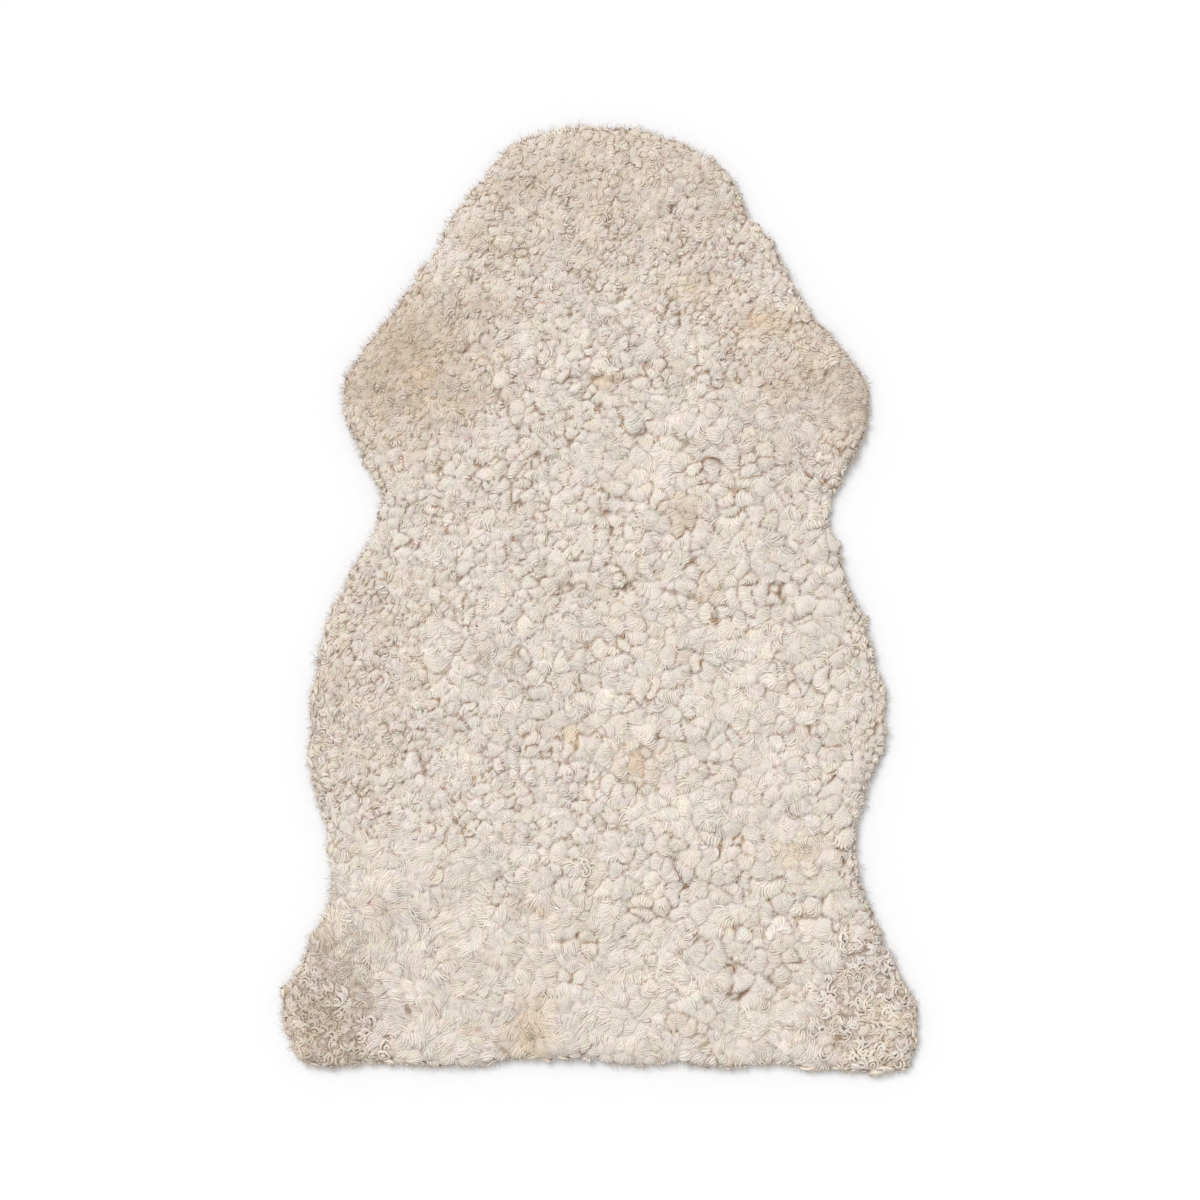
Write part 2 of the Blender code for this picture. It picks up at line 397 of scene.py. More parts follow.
def turned(directions: np.ndarray, normals: np.ndarray, angles: np.ndarray) -> np.ndarray:
    """Lays directions flat on a surface and turns them about its normals.

    Args:
        directions: one row each.
        normals: the surface's normals, one row each.
        angles: in radians.

    Returns:
        The turned directions at length 1.
    """
    flat = unit(directions - normals * np.sum(directions * normals, axis=1, keepdims=True))
    side = np.cross(normals, flat)
    return flat * np.cos(angles)[:, None] + side * np.sin(angles)[:, None]


def sampled(lines: np.ndarray, shares: np.ndarray) -> np.ndarray:
    """Finds places along lines.

    Args:
        lines: the lines' points, an array of lines by points by three.
        shares: how far along its line each place is, from 0 to 1, an array of lines by places.

    Returns:
        The places, an array of lines by places by three.
    """
    last = lines.shape[1] - 1
    spot = np.clip(shares, 0, 1) * last
    before = np.minimum(spot.astype(int), last - 1)
    part = (spot - before)[:, :, None]
    row = np.arange(len(lines))[:, None]
    return lines[row, before] * (1 - part) + lines[row, before + 1] * part


def eased(points: int) -> np.ndarray:
    """Shares from 0 to 1 along a strand, closer together towards both ends."""
    return (1 - np.cos(np.linspace(0, math.pi, points)))[None] / 2


def worked_copy(mesh: bpy.types.Mesh) -> bmesh.types.BMesh:
    """A copy of a mesh to work on, with its normals."""
    bm = bmesh.new()
    bm.from_mesh(mesh)
    bm.normal_update()
    return bm


def finished_mesh(name: str, bm: bmesh.types.BMesh) -> bpy.types.Mesh:
    """Turns a worked copy into a mesh, and frees it."""
    mesh = bpy.data.meshes.new(name)
    bm.to_mesh(mesh)
    bm.free()
    return mesh


def load_facts(mesh: bpy.types.Mesh, facts: Facts) -> None:
    """Gives each point of a mesh the numbers that it carries.

    Args:
        mesh: the mesh.
        facts: the numbers, by name.
    """
    for key, values in facts.items():
        attribute = mesh.attributes.new(key, "FLOAT", "POINT")
        attribute.data.foreach_set("value", values.ravel().astype(np.float32))


def add_object(name: str, data: bpy.types.ID) -> bpy.types.Object:
    """Puts a mesh, a camera or a light in the scene, at the origin."""
    obj = bpy.data.objects.new(name, data)
    bpy.context.scene.collection.objects.link(obj)
    return obj


def applied(obj: bpy.types.Object) -> bpy.types.Mesh:
    """The object's mesh with its modifiers in it, as a plain mesh."""
    bpy.context.view_layer.update()
    evaluated = obj.evaluated_get(bpy.context.evaluated_depsgraph_get())
    return bpy.data.meshes.new_from_object(evaluated)


def triangles(mesh: bpy.types.Mesh) -> int:
    """How many triangles the mesh has."""
    return sum(len(polygon.vertices) - 2 for polygon in mesh.polygons)


class Shader:
    """Builds one material's node tree, a node at a time."""

    def __init__(self, name: str) -> None:
        """Starts a material with a Principled surface.

        Args:
            name: the material's name.
        """
        self.material = bpy.data.materials.new(name)
        self.material.use_nodes = True
        self.tree = self.material.node_tree
        self.surface = self.tree.nodes["Principled BSDF"]

    def node(self, kind: str, settings: dict | None = None, **inputs: Input) -> bpy.types.Node:
        """Adds a node.

        Args:
            kind: the node's type.
            settings: its properties, by name.
            **inputs: values or sockets for its inputs, as for dress.

        Returns:
            The node.
        """
        node = self.tree.nodes.new(kind)
        for key, value in (settings or {}).items():
            setattr(node, key, value)
        self.dress(node, **inputs)
        return node

    def dress(self, node: bpy.types.Node, **inputs: Input) -> None:
        """Links or sets a node's inputs.

        Args:
            node: the node.
            **inputs: values or sockets, by name with _ for a space, or in_N by number.
        """
        for key, value in inputs.items():
            by_number = key.startswith("in_")
            self.feed(node.inputs[int(key[3:]) if by_number else key.replace("_", " ")], value)

    def feed(self, socket: Socket, value: Input) -> None:
        """Links a socket to another, or sets its value."""
        if isinstance(value, Socket):
            self.tree.links.new(value, socket)
        else:
            socket.default_value = value

    def attribute(self, name: str) -> Socket:
        """A number that the mesh carries."""
        return self.node("ShaderNodeAttribute", {"attribute_name": name}).outputs["Fac"]

    def maths(self, operation: str, first: Input, second: Input = 0.0) -> Socket:
        """A sum, product or the like of two numbers."""
        return self.node("ShaderNodeMath", {"operation": operation}, in_0=first, in_1=second).outputs[0]

    def stretched(self, value: Socket, low: float, high: float, span: Range = (0.0, 1.0)) -> Socket:
        """A number moved from one range to another, with smooth ends."""
        node = self.node("ShaderNodeMapRange", {"interpolation_type": "SMOOTHSTEP"}, in_0=value)
        for socket, number in zip(node.inputs[1:5], (low, high, *span)):
            socket.default_value = number
        return node.outputs[0]

    def mix(self, factor: Input, first: Input, second: Input, blend: str = "MIX") -> Socket:
        """A mix of two colours."""
        node = self.node("ShaderNodeMix", {"data_type": "RGBA", "blend_type": blend})
        self.feed(node.inputs["Factor"], factor)
        colour_inputs = [socket for socket in node.inputs if socket.type == "RGBA"]
        self.feed(colour_inputs[0], first)
        self.feed(colour_inputs[1], second)
        return next(socket for socket in node.outputs if socket.type == "RGBA")

    def grain(self, scale: float, detail: float = 2.0, vector: Socket | None = None) -> Socket:
        """Noise on the object's own coordinates, or on a vector."""
        if vector is None:
            vector = self.node("ShaderNodeTexCoord").outputs["Object"]
        return self.node("ShaderNodeTexNoise", Vector=vector, Scale=scale, Detail=detail).outputs["Fac"]

    def toned(self, colour: Input, tone: Input) -> Socket:
        """A colour multiplied by a number."""
        grey = self.node("ShaderNodeCombineColor", in_0=tone, in_1=tone, in_2=tone).outputs[0]
        return self.mix(1.0, colour, grey, "MULTIPLY")

    def dyed(self, colour: Input, tan: Colour, tan_share: float, stain: Colour) -> Socket:
        """A wool colour with the skin's tan parts, stains and blotches over it.

        Args:
            colour: the wool's own colour.
            tan: the colour of the tan parts.
            tan_share: how much of it the most tan part takes.
            stain: the colour of the stains.

        Returns:
            The dyed colour.
        """
        colour = self.mix(self.maths("MULTIPLY", self.attribute("tan"), tan_share), colour, tan)
        colour = self.mix(self.maths("MULTIPLY", self.attribute("stain"), STAIN_SHARE), colour, stain)
        for blotches in BLOTCHES:
            share = self.stretched(self.grain(blotches.scale, 3), *BLOTCH_EDGES)
            colour = self.mix(1.0, colour, self.mix(share, blotches.first, blotches.second), "MULTIPLY")
        return colour

    def bump(self, height: Socket, strength: float, distance: float, under: Socket | None = None) -> Socket:
        """A bumped normal, on top of the one under it if there is one."""
        node = self.node("ShaderNodeBump", Strength=strength, Distance=distance, Height=height)
        if under is not None:
            self.feed(node.inputs["Normal"], under)
        return node.outputs["Normal"]


@dataclass(frozen=True)
class Blotches:
    """Two tints that take turns over the wool.

    Attributes:
        first, second: the tints, which multiply the wool's colour.
        scale: how many blotches there are to a metre.
    """

    first: Colour
    second: Colour
    scale: float


BLOTCHES: tuple[Blotches, ...] = (
    Blotches((0.982, 1.006, 0.990, 1), (1.016, 0.990, 1.002, 1), 110),
    Blotches((1.004, 1.004, 0.968, 1), (0.996, 0.996, 1.024, 1), 75),
)
BLOTCH_EDGES: Range = (0.36, 0.64)


@dataclass(frozen=True)
class WoolFinish:
    """Undyed off-white wool: pale at the crowns of the tufts and tan in the partings. Its colour carries
    painted shade: dark root colour in low places, seams and folds, and darker strand sides, outer sides of
    tufts and cut ends.

    Attributes:
        crown, warm_crown: the colours of the crowns, between which the tufts vary.
        edge: the warm colour painted on the strands' sides as shade between neighbouring strands.
        root: the colour of the roots, deep in the partings; it also serves as painted shade in low places,
            seams and folds, on the outer sides of tufts and at cut ends.
        tan, stain: the colours of the tan parts and of the stains.
        tan_share, side_shade_share, outer_shade_share: how much of its colour the most tan part takes, and
        how strong the painted shade is on a strand's side and on the outer side of a tuft.
        shaded_end_from: how far out the painted shade at the end of a strand that is cut at a parting
            starts.
        cloud_scale: how many slow changes of tone there are to a metre.
        fibres_along, fibres_around: how fine the fibres are along and round a strand.
        fibre_bump, fibre_height: how strong the fibres' relief is, and how high.
        roughness, specular, sheen, sheen_roughness, sheen_tint: the same all over the wool.
    """

    name: str = "wool"
    crown: Colour = (0.809, 0.755, 0.698, 1)
    warm_crown: Colour = (0.823, 0.759, 0.671, 1)
    edge: Colour = (0.775, 0.655, 0.505, 1)
    root: Colour = (0.450, 0.290, 0.180, 1)
    tan: Colour = (0.620, 0.485, 0.365, 1)
    stain: Colour = (0.700, 0.500, 0.300, 1)
    tan_share: float = 0.75
    side_shade_share: float = 0.6
    outer_shade_share: float = 0.85
    shaded_end_from: float = 0.68
    cloud_scale: float = 28
    fibres_along: float = 0.12
    fibres_around: float = 7.0
    fibre_bump: float = 0.3
    fibre_height: float = 0.3
    roughness: float = 0.85
    specular: float = 0.2
    sheen: float = 0.15
    sheen_roughness: float = 0.5
    sheen_tint: Colour = (1.0, 0.96, 0.9, 1)

    def material(self) -> bpy.types.Material:
        """Builds the material.

        Returns:
            The material, for strands that carry what Strands.carry lists.
        """
        shader = Shader(self.name)
        # Painted shade: the strands' colour darkens by depth, on their sides, on the tufts' outer sides and
        # at cut ends.
        painted_shade_colour = self.shaded(shader, self.shaded_by_depth(shader))
        dyed = shader.dyed(painted_shade_colour, self.tan, self.tan_share, self.stain)
        fibre = self.fibre(shader)
        clouds = shader.stretched(shader.grain(self.cloud_scale, 3), 0.3, 0.7, (0.93, 1.05))
        tone = shader.maths("MULTIPLY", clouds, shader.attribute("tone"))
        tone = shader.maths("MULTIPLY", tone, shader.stretched(fibre, 0.25, 0.75, (0.95, 1.03)))
        shader.dress(
            shader.surface,
            Base_Color=shader.toned(dyed, tone),
            Normal=shader.bump(fibre, self.fibre_bump, self.fibre_height * MM),
            Roughness=self.roughness,
            Specular_IOR_Level=self.specular,
            Sheen_Weight=self.sheen,
            Sheen_Roughness=self.sheen_roughness,
            Sheen_Tint=self.sheen_tint,
        )
        return shader.material

    def shaded_by_depth(self, shader: Shader) -> Socket:
        """The strands' colour: pale on the crowns and dark at the roots; the dark root colour stands partly
        for the roots' own colour and partly for painted shade where the place lies low or in a seam or fold.
        """
        crown = shader.mix(shader.attribute("warmth"), self.crown, self.warm_crown)
        return shader.mix(shader.stretched(shader.attribute("depth"), 0.1, 0.9), self.root, crown)

    def shaded(self, shader: Shader, colour: Socket) -> Socket:
        """Paints shade on the strands: darkens their sides, the outer sides of tufts and the cut ends that
        border on a parting.

        Args:
            shader: the material under construction.
            colour: the strands' colour, with painted shade by depth.

        Returns:
            The colour with painted shade on the sides, the tufts' outer sides and the cut ends.
        """
        side = shader.stretched(shader.attribute("side"), 0.5, 1.0)
        side_shaded = shader.mix(shader.maths("MULTIPLY", side, self.side_shade_share), colour, self.edge, "DARKEN")
        outer_shade_share = shader.maths("MULTIPLY", shader.attribute("shade"), self.outer_shade_share)
        outer = shader.maths("MULTIPLY", side, outer_shade_share)
        ended = shader.stretched(shader.attribute("end"), self.shaded_end_from, 1.0)
        shaded_cut_end = shader.maths("MULTIPLY", ended, shader.attribute("parting"))
        return shader.mix(shader.maths("MAXIMUM", outer, shaded_cut_end), side_shaded, self.root)

    def fibre(self, shader: Shader) -> Socket:
        """Fine fibres that run along a strand.

        Args:
            shader: the material under construction.

        Returns:
            The fibres' height, from 0 to 1.
        """
        vector = shader.node(
            "ShaderNodeCombineXYZ",
            X=shader.maths("MULTIPLY", shader.attribute("along"), self.fibres_along),
            Y=shader.maths("MULTIPLY", shader.attribute("around"), self.fibres_around),
            Z=shader.attribute("seed"),
        ).outputs[0]
        return shader.grain(1.0, 1.0, vector)


@dataclass(frozen=True)
class UndercoatFinish:
    """The bed of wool under the strands: pale on the lumps, tan deep in the partings, where its dark parting
    colour is painted shade.

    Attributes:
        crown, parting: the colours of the lumps and of the partings, the dark parting colour being painted
            shade.
        tan, stain: the colours of the tan parts and of the stains.
        tan_share: how much of its colour the most tan part takes.
        strand_pitch: how far it is from one ridge to the next, in millimetres.
        relief: how high the ridges are, in millimetres.
        grain_scale: how many grains there are to a metre.
    """

    name: str = "undercoat"
    crown: Colour = (0.768, 0.703, 0.630, 1)
    parting: Colour = (0.330, 0.225, 0.155, 1)
    tan: Colour = (0.590, 0.460, 0.340, 1)
    stain: Colour = (0.680, 0.480, 0.270, 1)
    tan_share: float = 0.75
    strand_pitch: float = 2.1
    relief: float = 0.35
    grain_scale: float = 500

    def material(self) -> bpy.types.Material:
        """Builds the material.

        Returns:
            The material, for a bed that carries depth, over, tone, tan and stain.
        """
        shader = Shader(self.name)
        # Painted shade: the bed turns to the dark parting colour where it lies low or parted.
        lump = shader.stretched(shader.attribute("depth"), 0.1, 0.8)
        painted_shade_colour = shader.mix(lump, self.parting, self.crown)
        dyed = shader.dyed(painted_shade_colour, self.tan, self.tan_share, self.stain)
        rows = shader.maths("MULTIPLY", shader.attribute("over"), 2 * math.pi / self.strand_pitch)
        grains = shader.grain(self.grain_scale, 3)
        ridges = shader.maths("ADD", shader.maths("SINE", rows), grains)
        shader.dress(
            shader.surface,
            Base_Color=shader.toned(dyed, shader.attribute("tone")),
            Normal=shader.bump(ridges, 0.6, self.relief * MM),
            Roughness=0.9,
            Specular_IOR_Level=0.1,
        )
        return shader.material


@dataclass(frozen=True)
class SuedeFinish:
    """The flesh side of the tanned hide: pale buff suede with a fine nap and a few cloudy marks.

    Attributes:
        pale, dark: the colours between which it varies.
        nap_scale, cloud_scale, scuff_scale, crease_scale: how many tufts of nap, clouds,
            scuffs and creases there are to a metre.
    """

    name: str = "suede"
    pale: Colour = (0.660, 0.560, 0.440, 1)
    dark: Colour = (0.520, 0.420, 0.310, 1)
    nap_scale: float = 1400
    cloud_scale: float = 14
    scuff_scale: float = 140
    crease_scale: float = 45

    def material(self) -> bpy.types.Material:
        """Builds the material.

        Returns:
            The material, on object coordinates.
        """
        shader = Shader(self.name)
        nap = shader.grain(self.nap_scale, 3)
        clouds = shader.stretched(shader.grain(self.cloud_scale, 5), 0.35, 0.68)
        scuffs = shader.stretched(shader.grain(self.scuff_scale, 4), 0.4, 0.7, (0.0, 0.35))
        cloudy = shader.mix(clouds, self.pale, self.dark)
        creases = shader.grain(self.crease_scale, 6)
        napped = shader.bump(nap, 0.35, 0.2 * MM)
        shader.dress(
            shader.surface,
            Base_Color=shader.mix(scuffs, cloudy, self.pale),
            Normal=shader.bump(creases, 0.3, 1.2 * MM, napped),
            Roughness=shader.stretched(nap, 0.3, 0.7, (0.82, 0.96)),
            Sheen_Weight=0.25,
            Sheen_Roughness=0.6,
        )
        return shader.material


@dataclass(frozen=True)
class FloorFinish:
    """A plain white studio floor."""

    name: str = "studio_floor"
    white: Colour = (0.872, 0.872, 0.880, 1)

    def material(self) -> bpy.types.Material:
        """Builds the material."""
        shader = Shader(self.name)
        shader.dress(shader.surface, Base_Color=self.white, Roughness=0.9, Specular_IOR_Level=0.0)
        return shader.material


class Surface:
    """A surface that places can be dropped on."""

    def __init__(self, bm: bmesh.types.BMesh) -> None:
        """Readies a mesh for look-up.

        Args:
            bm: the mesh.
        """
        self.tree = BVHTree.FromBMesh(bm)

    def nearest(self, places: np.ndarray) -> tuple[np.ndarray, np.ndarray]:
        """Finds the nearest places on the surface.

        Args:
            places: one row each, in metres.

        Returns:
            The nearest places and the surface's normals there.
        """
        found = [self.tree.find_nearest(place) for place in places.tolist()]
        return np.array([item[0] for item in found]), np.array([item[1] for item in found])


@dataclass
class FleeceForm:
    """The smooth shape under the wisps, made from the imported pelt. Sizes are in millimetres.

    Attributes:
        voxel: how coarse its squares are.
        smoothing, ease: how many times it is smoothed, and how much each time.
        same_place: how near to one another corners are to be merged.
        facing_down: how far down a face may look and still bear wool, from 0 to -1.
        mesh: the shape.
    """

    voxel: float = 5.35
    smoothing: int = 6
    ease: float = 0.5
    same_place: float = 0.01
    facing_down: float = -0.45
    name: str = "form"
    mesh: bpy.types.Mesh = field(init=False)

    def __post_init__(self) -> None:
        """Melts the pelt's lumps and locks into one smooth shape."""
        obj = add_object(self.name, self.welded_pelt())
        remesh = obj.modifiers.new("melt", "REMESH")
        remesh.mode = "VOXEL"
        remesh.voxel_size = self.voxel * MM
        smooth = obj.modifiers.new("soften", "SMOOTH")
        smooth.factor = self.ease
        smooth.iterations = self.smoothing
        self.mesh = applied(obj)
        bpy.data.objects.remove(obj)

    def welded_pelt(self) -> bpy.types.Mesh:
        """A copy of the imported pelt's loose triangles, merged into one skin."""
        bm = worked_copy(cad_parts["pelt"].data)
        bmesh.ops.remove_doubles(bm, verts=bm.verts, dist=self.same_place * MM)
        return finished_mesh("pelt_copy", bm)

    def strewn(self, count: int, seed: int) -> tuple[np.ndarray, np.ndarray]:
        """Strews places evenly at random over the wool side and the rim.

        Args:
            count: how many places.
            seed: for the random numbers.

        Returns:
            The places and the form's normals there.
        """
        rng = np.random.default_rng(seed)
        self.mesh.calc_loop_triangles()
        corners = np.zeros(len(self.mesh.loop_triangles) * 3, np.int32)
        self.mesh.loop_triangles.foreach_get("vertices", corners)
        places = np.zeros(len(self.mesh.vertices) * 3)
        self.mesh.vertices.foreach_get("co", places)
        a, b, c = (places.reshape(-1, 3)[corners.reshape(-1, 3)[:, i]] for i in range(3))
        cross = np.cross(b - a, c - a)
        area = np.linalg.norm(cross, axis=1) / 2
        normal = unit(cross)
        area[normal[:, 2] < self.facing_down] = 0
        chosen = rng.choice(len(area), size=count, p=area / area.sum())
        u, v = rng.random(count), rng.random(count)
        flip = u + v > 1
        u[flip], v[flip] = 1 - u[flip], 1 - v[flip]
        spot = a[chosen] + (b - a)[chosen] * u[:, None] + (c - a)[chosen] * v[:, None]
        return spot, normal[chosen]


@dataclass
class Tufts:
    """Where the tufts grow and how each is laid. Lengths are in millimetres, places in metres.

    Attributes:
        form: the shape that they grow on.
        tries, seed: how many places are tried for a tuft, and the seed of all that is random.
        cell: the side of the squares in which neighbours are looked for.
        steep: how little a place on the rim looks up, from 1 to 0.
        kind_drifts: how the bounds between the kinds of wool wander. Each kind has its seeds.
        kind_stray: how far the bounds stray from place to place.
        lie_drift: how far the lie swings to each side of straight to the tail, in radians.
        hand_drift, parting_drift, tan_drift: how these change over the skin.
        boldness, warming: the traits that bold and warmth are drawn from.
        sizes, turns, partings, splays, crowns, levels: the ranges in which tufts differ.
        splayed: the share of the tufts whose strands spread out at the tips.
        tone_stray, tan_stray: how far the tone and the tan stray from tuft to tuft.
        fold_shade_tan: how much more tan the wool is at a fold, partly its own colour where it parts and
            partly painted shade.
        rim_from: how little the wool looks up where it starts to fall over the rim.
        rim_fall: how steeply it falls there.
        rim_spill: how far the lie strays on the rim, in degrees.
        rounded: how much wider than its ellipse a tuft's lump is.
        overhang: how much higher than its root side its tip side is.
        pit_slope, pit_depth: how steeply and how far the wool falls beyond a tuft.
        seam, groove: how wide and how deep the seam between two tufts is.
        ring_turn: the turn, in degrees, past which wool curls into rings.
        ring_shade: how dark the bed is under rings.
        low_shade, seam_shade, fold_shade: how dark it is low down, in a seam and in a fold.
        neighbours: how many tufts about a place are looked at.
        places: their middles.
        normals: the form's normals there.
        kinds: their kinds of wool, as numbers in the order of Wool.
        beside: the numbers of the tufts nearest to each.
        along: the way the strands lie.
        aside: the way from one strand to the next.
        hand: 1 or -1, the way the strands turn.
        bold: how much bolder its strands are than the habit's.
        pitch: the distance from one strand to the next.
        count: how many strands each has.
        length: how long the strands are.
        turn: how far the strands turn, in radians.
        bend: how sharply the row of strands bends, in radians a millimetre.
        crown: how high the tuft stands.
        parting: how clearly it is parted from its neighbours, from 0 to 1.
        level: how high over the bed it lies, if it curls into a ring.
        tone, warmth, tan, stain: its colouring.
    """

    form: FleeceForm
    tries: int = 90000
    seed: int = 7
    cell: float = 15.0
    steep: float = 0.5
    kind_drifts: tuple[Drift, ...] = (Drift(45, 0, 0.14), Drift(16, 5, 0.08))
    kind_stray: float = 0.06
    lie_drift: Drift = Drift(75, 3.3, math.pi * 1.1)
    hand_drift: Drift = Drift(60, 21, 0.4)
    parting_drift: Drift = Drift(28, 33, 0.6)
    tan_drift: Drift = Drift(30, 50, 0.14)
    boldness: Trait = Trait(1.25, Drift(30, 90, 0.3), 0.15, 0.8, 1.8)
    warming: Trait = Trait(0.5, Drift(32, 61, 0.45), 0.22)
    sizes: Range = (0.75, 1.3)
    turns: Range = (0.7, 1.2)
    partings: Range = (0.6, 1.2)
    splays: Range = (0.3, 1.5)
    crowns: Range = (0.75, 1.2)
    levels: Range = (0.5, 1.8)
    splayed: float = 0.7
    tone_stray: float = 0.03
    tan_stray: float = 0.07
    fold_shade_tan: float = 0.3
    rim_from: float = 0.97
    rim_fall: float = 0.4
    rim_spill: float = 50.0
    rounded: float = 1.28
    overhang: float = 0.2
    pit_slope: float = 0.7
    pit_depth: float = 1.6
    seam: float = 1.3
    groove: float = 2.2
    ring_turn: float = 180.0
    ring_shade: float = 0.92
    low_shade: float = 0.3
    seam_shade: float = 0.85
    fold_shade: float = 0.6
    neighbours: int = 12
    places: np.ndarray = field(init=False)
    normals: np.ndarray = field(init=False)
    kinds: np.ndarray = field(init=False)
    beside: np.ndarray = field(init=False)

    def __post_init__(self) -> None:
        """Strews the tufts so that none is nearer to another than its wool's habit allows."""
        places, normals = self.form.strewn(self.tries, self.seed)
        kinds = self.kinds_at(places, normals)
        kept = self.thinned(places, kinds)
        self.places, self.normals, self.kinds = places[kept], normals[kept], kinds[kept]
        self.lay(np.random.default_rng(self.seed + 1))
        self.beside = self.nearest(self.places, self.neighbours)
        LOG.info("tufts: %d", len(kept))

    def kinds_at(self, places: np.ndarray, normals: np.ndarray) -> np.ndarray:
        """Picks the kind of wool for each place.

        Args:
            places: in metres, one row each.
            normals: the form's normals there.

        Returns:
            The numbers of the kinds, in the order of Wool.
        """
        kinds = list(Wool)
        score = np.full((len(kinds), len(places)), -1.0)
        for patch in PATCHES:
            row = kinds.index(patch.wool)
            score[row] = np.maximum(score[row], patch.pull * patch.nearness(places))
        for row in range(len(kinds)):
            own = [replace(drift, seed=10 * row + drift.seed) for drift in self.kind_drifts]
            score[row] += sum(drift.at(places) for drift in own)
        score += np.random.default_rng(self.seed + 2).normal(0, self.kind_stray, score.shape)
        chosen = score.argmax(axis=0)
        on_rim = normals[:, 2] < self.steep
        big = np.isin(chosen, [kinds.index(Wool.CURL), kinds.index(Wool.PEBBLE)])
        chosen[on_rim & big] = kinds.index(Wool.FINE)
        return chosen

    def thinned(self, places: np.ndarray, kinds: np.ndarray) -> list[int]:
        """Keeps the places that aren't too near one kept before them.

        Args:
            places: in metres, one row each.
            kinds: the kinds of wool there.

        Returns:
            The numbers of the kept places.
        """
        habits = [HABITS[wool] for wool in Wool]
        angle = self.lie_angle(places)
        cells: dict[tuple[int, int], list[tuple[float, float, float, float]]] = {}
        kept = []
        spots = zip((places / MM).tolist(), kinds.tolist(), np.cos(angle).tolist(), np.sin(angle).tolist())
        for number, ((x, y, z), kind, way_x, way_y) in enumerate(spots):
            gap, stretch = habits[kind].tuft_gap, habits[kind].stretch
            column, row = int(x // self.cell), int(y // self.cell)
            near = (cells.get((column + i, row + j), ()) for i in (-1, 0, 1) for j in (-1, 0, 1))
            clash = any(
                (((x - a) * way_x + (y - b) * way_y) * stretch) ** 2
                + (((y - b) * way_x - (x - a) * way_y) / stretch) ** 2
                + (z - c) ** 2
                < (0.5 * (gap + other)) ** 2
                for group in near
                for a, b, c, other in group
            )
            if not clash:
                cells.setdefault((column, row), []).append((x, y, z, gap))
                kept.append(number)
        return kept

    def of_habit(self, name: str) -> np.ndarray:
        """A number of the wool's habit, for each tuft."""
        return np.array([getattr(HABITS[wool], name) for wool in Wool])[self.kinds]

    def lay(self, rng: np.random.Generator) -> None:
        """Settles how each tuft lies.

        Args:
            rng: the random numbers.
        """
        total, places = len(self.places), self.places
        size = rng.uniform(*self.sizes, total)
        self.hand = np.where(rng.random(total) < 0.5 + self.hand_drift.at(places), 1.0, -1.0)
        self.along = self.lie(rng)
        self.aside = np.cross(self.normals, self.along)
        self.bold = self.boldness.drawn(places, rng)
        self.pitch = self.of_habit("pitch") * self.bold
        self.count = np.maximum(2, np.round(self.of_habit("strands") * size / self.bold)).astype(int)
        self.length = self.of_habit("length") * size**0.6
        self.turn = np.radians(self.of_habit("turn")) * self.hand * rng.uniform(*self.turns, total)
        share = self.of_habit("parting") * rng.uniform(*self.partings, total)
        self.parting = np.clip(share * (1 + self.parting_drift.at(places)), 0, 1)
        splay = np.where(rng.random(total) < self.splayed, -1.0, 1.0)
        splay *= rng.uniform(*self.splays, total)
        self.bend = np.radians(self.of_habit("fan")) / self.of_habit("pitch") * splay
        self.crown = self.of_habit("crown") * rng.uniform(*self.crowns, total)
        self.level = rng.uniform(*self.levels, total)
        self.tone = rng.normal(1.0, self.tone_stray, total)
        self.warmth = self.warming.drawn(places, rng)
        tan = tinted(TAN_PARTS, places) + self.tan_drift.at(places)
        # Folds are tinted tan: partly the wool's own colour where it parts, partly painted shade.
        tan += self.fold_shade_tan * parted(places)[1]
        self.tan = np.clip(tan + rng.normal(0, self.tan_stray, total), 0, 1)
        self.stain = tinted(STAINS, places)

    def lie_angle(self, places: np.ndarray) -> np.ndarray:
        """The way the wool leans at each place, in radians: a swirl that leans to the tail."""
        return -math.pi / 2 + self.lie_drift.at(places)

    def lie(self, rng: np.random.Generator) -> np.ndarray:
        """The way the wool lies at each tuft.

        Args:
            rng: the random numbers.

        Returns:
            A direction for each tuft: over the rim outwards and down, elsewhere a swirl
            that leans to the tail.
        """
        count = len(self.places)
        angle = self.lie_angle(self.places)
        flat = np.column_stack([np.cos(angle), np.sin(angle), np.zeros(count)])
        outward = self.normals * (1, 1, 0) + (0, 0, -self.rim_fall)
        share = np.clip((self.rim_from - self.normals[:, 2]) * 3, 0, 1)[:, None]
        direction = flat * (1 - share) + unit(outward) * share
        stray = self.of_habit("stray")
        stray = np.where(share[:, 0] > 0.5, np.minimum(stray, self.rim_spill), stray)
        return turned(direction, self.normals, rng.uniform(-1, 1, count) * np.radians(stray))

    def footprint(self) -> tuple[np.ndarray, np.ndarray, np.ndarray]:
        """The ellipse that each tuft covers.

        Returns:
            Half its size along the strands, half its size across them, and how far its
            middle lies to the side, towards which the strands curl.
        """
        half_turn = np.clip(np.abs(self.turn) / 2, 1e-3, None)
        radius = self.length / 2 / half_turn
        width = self.of_habit("width")
        along = radius * np.sin(np.minimum(half_turn, math.pi / 2)) + width * 0.4
        sagitta = radius * (1 - np.cos(half_turn))
        across = (self.count * self.pitch + sagitta) / 2
        return along, across, np.sign(self.turn) * sagitta / 2

    def nearest(self, places: np.ndarray, count: int) -> np.ndarray:
        """The numbers of the tufts nearest to each place, the nearest first.

        Args:
            places: in metres, one row each.
            count: how many tufts for each place.

        Returns:
            The numbers, an array of places by count.
        """
        tree = KDTree(len(self.places))
        for number, place in enumerate(self.places.tolist()):
            tree.insert(place, number)
        tree.balance()
        return np.array([[found[1] for found in tree.find_n(place, count)] for place in places.tolist()])

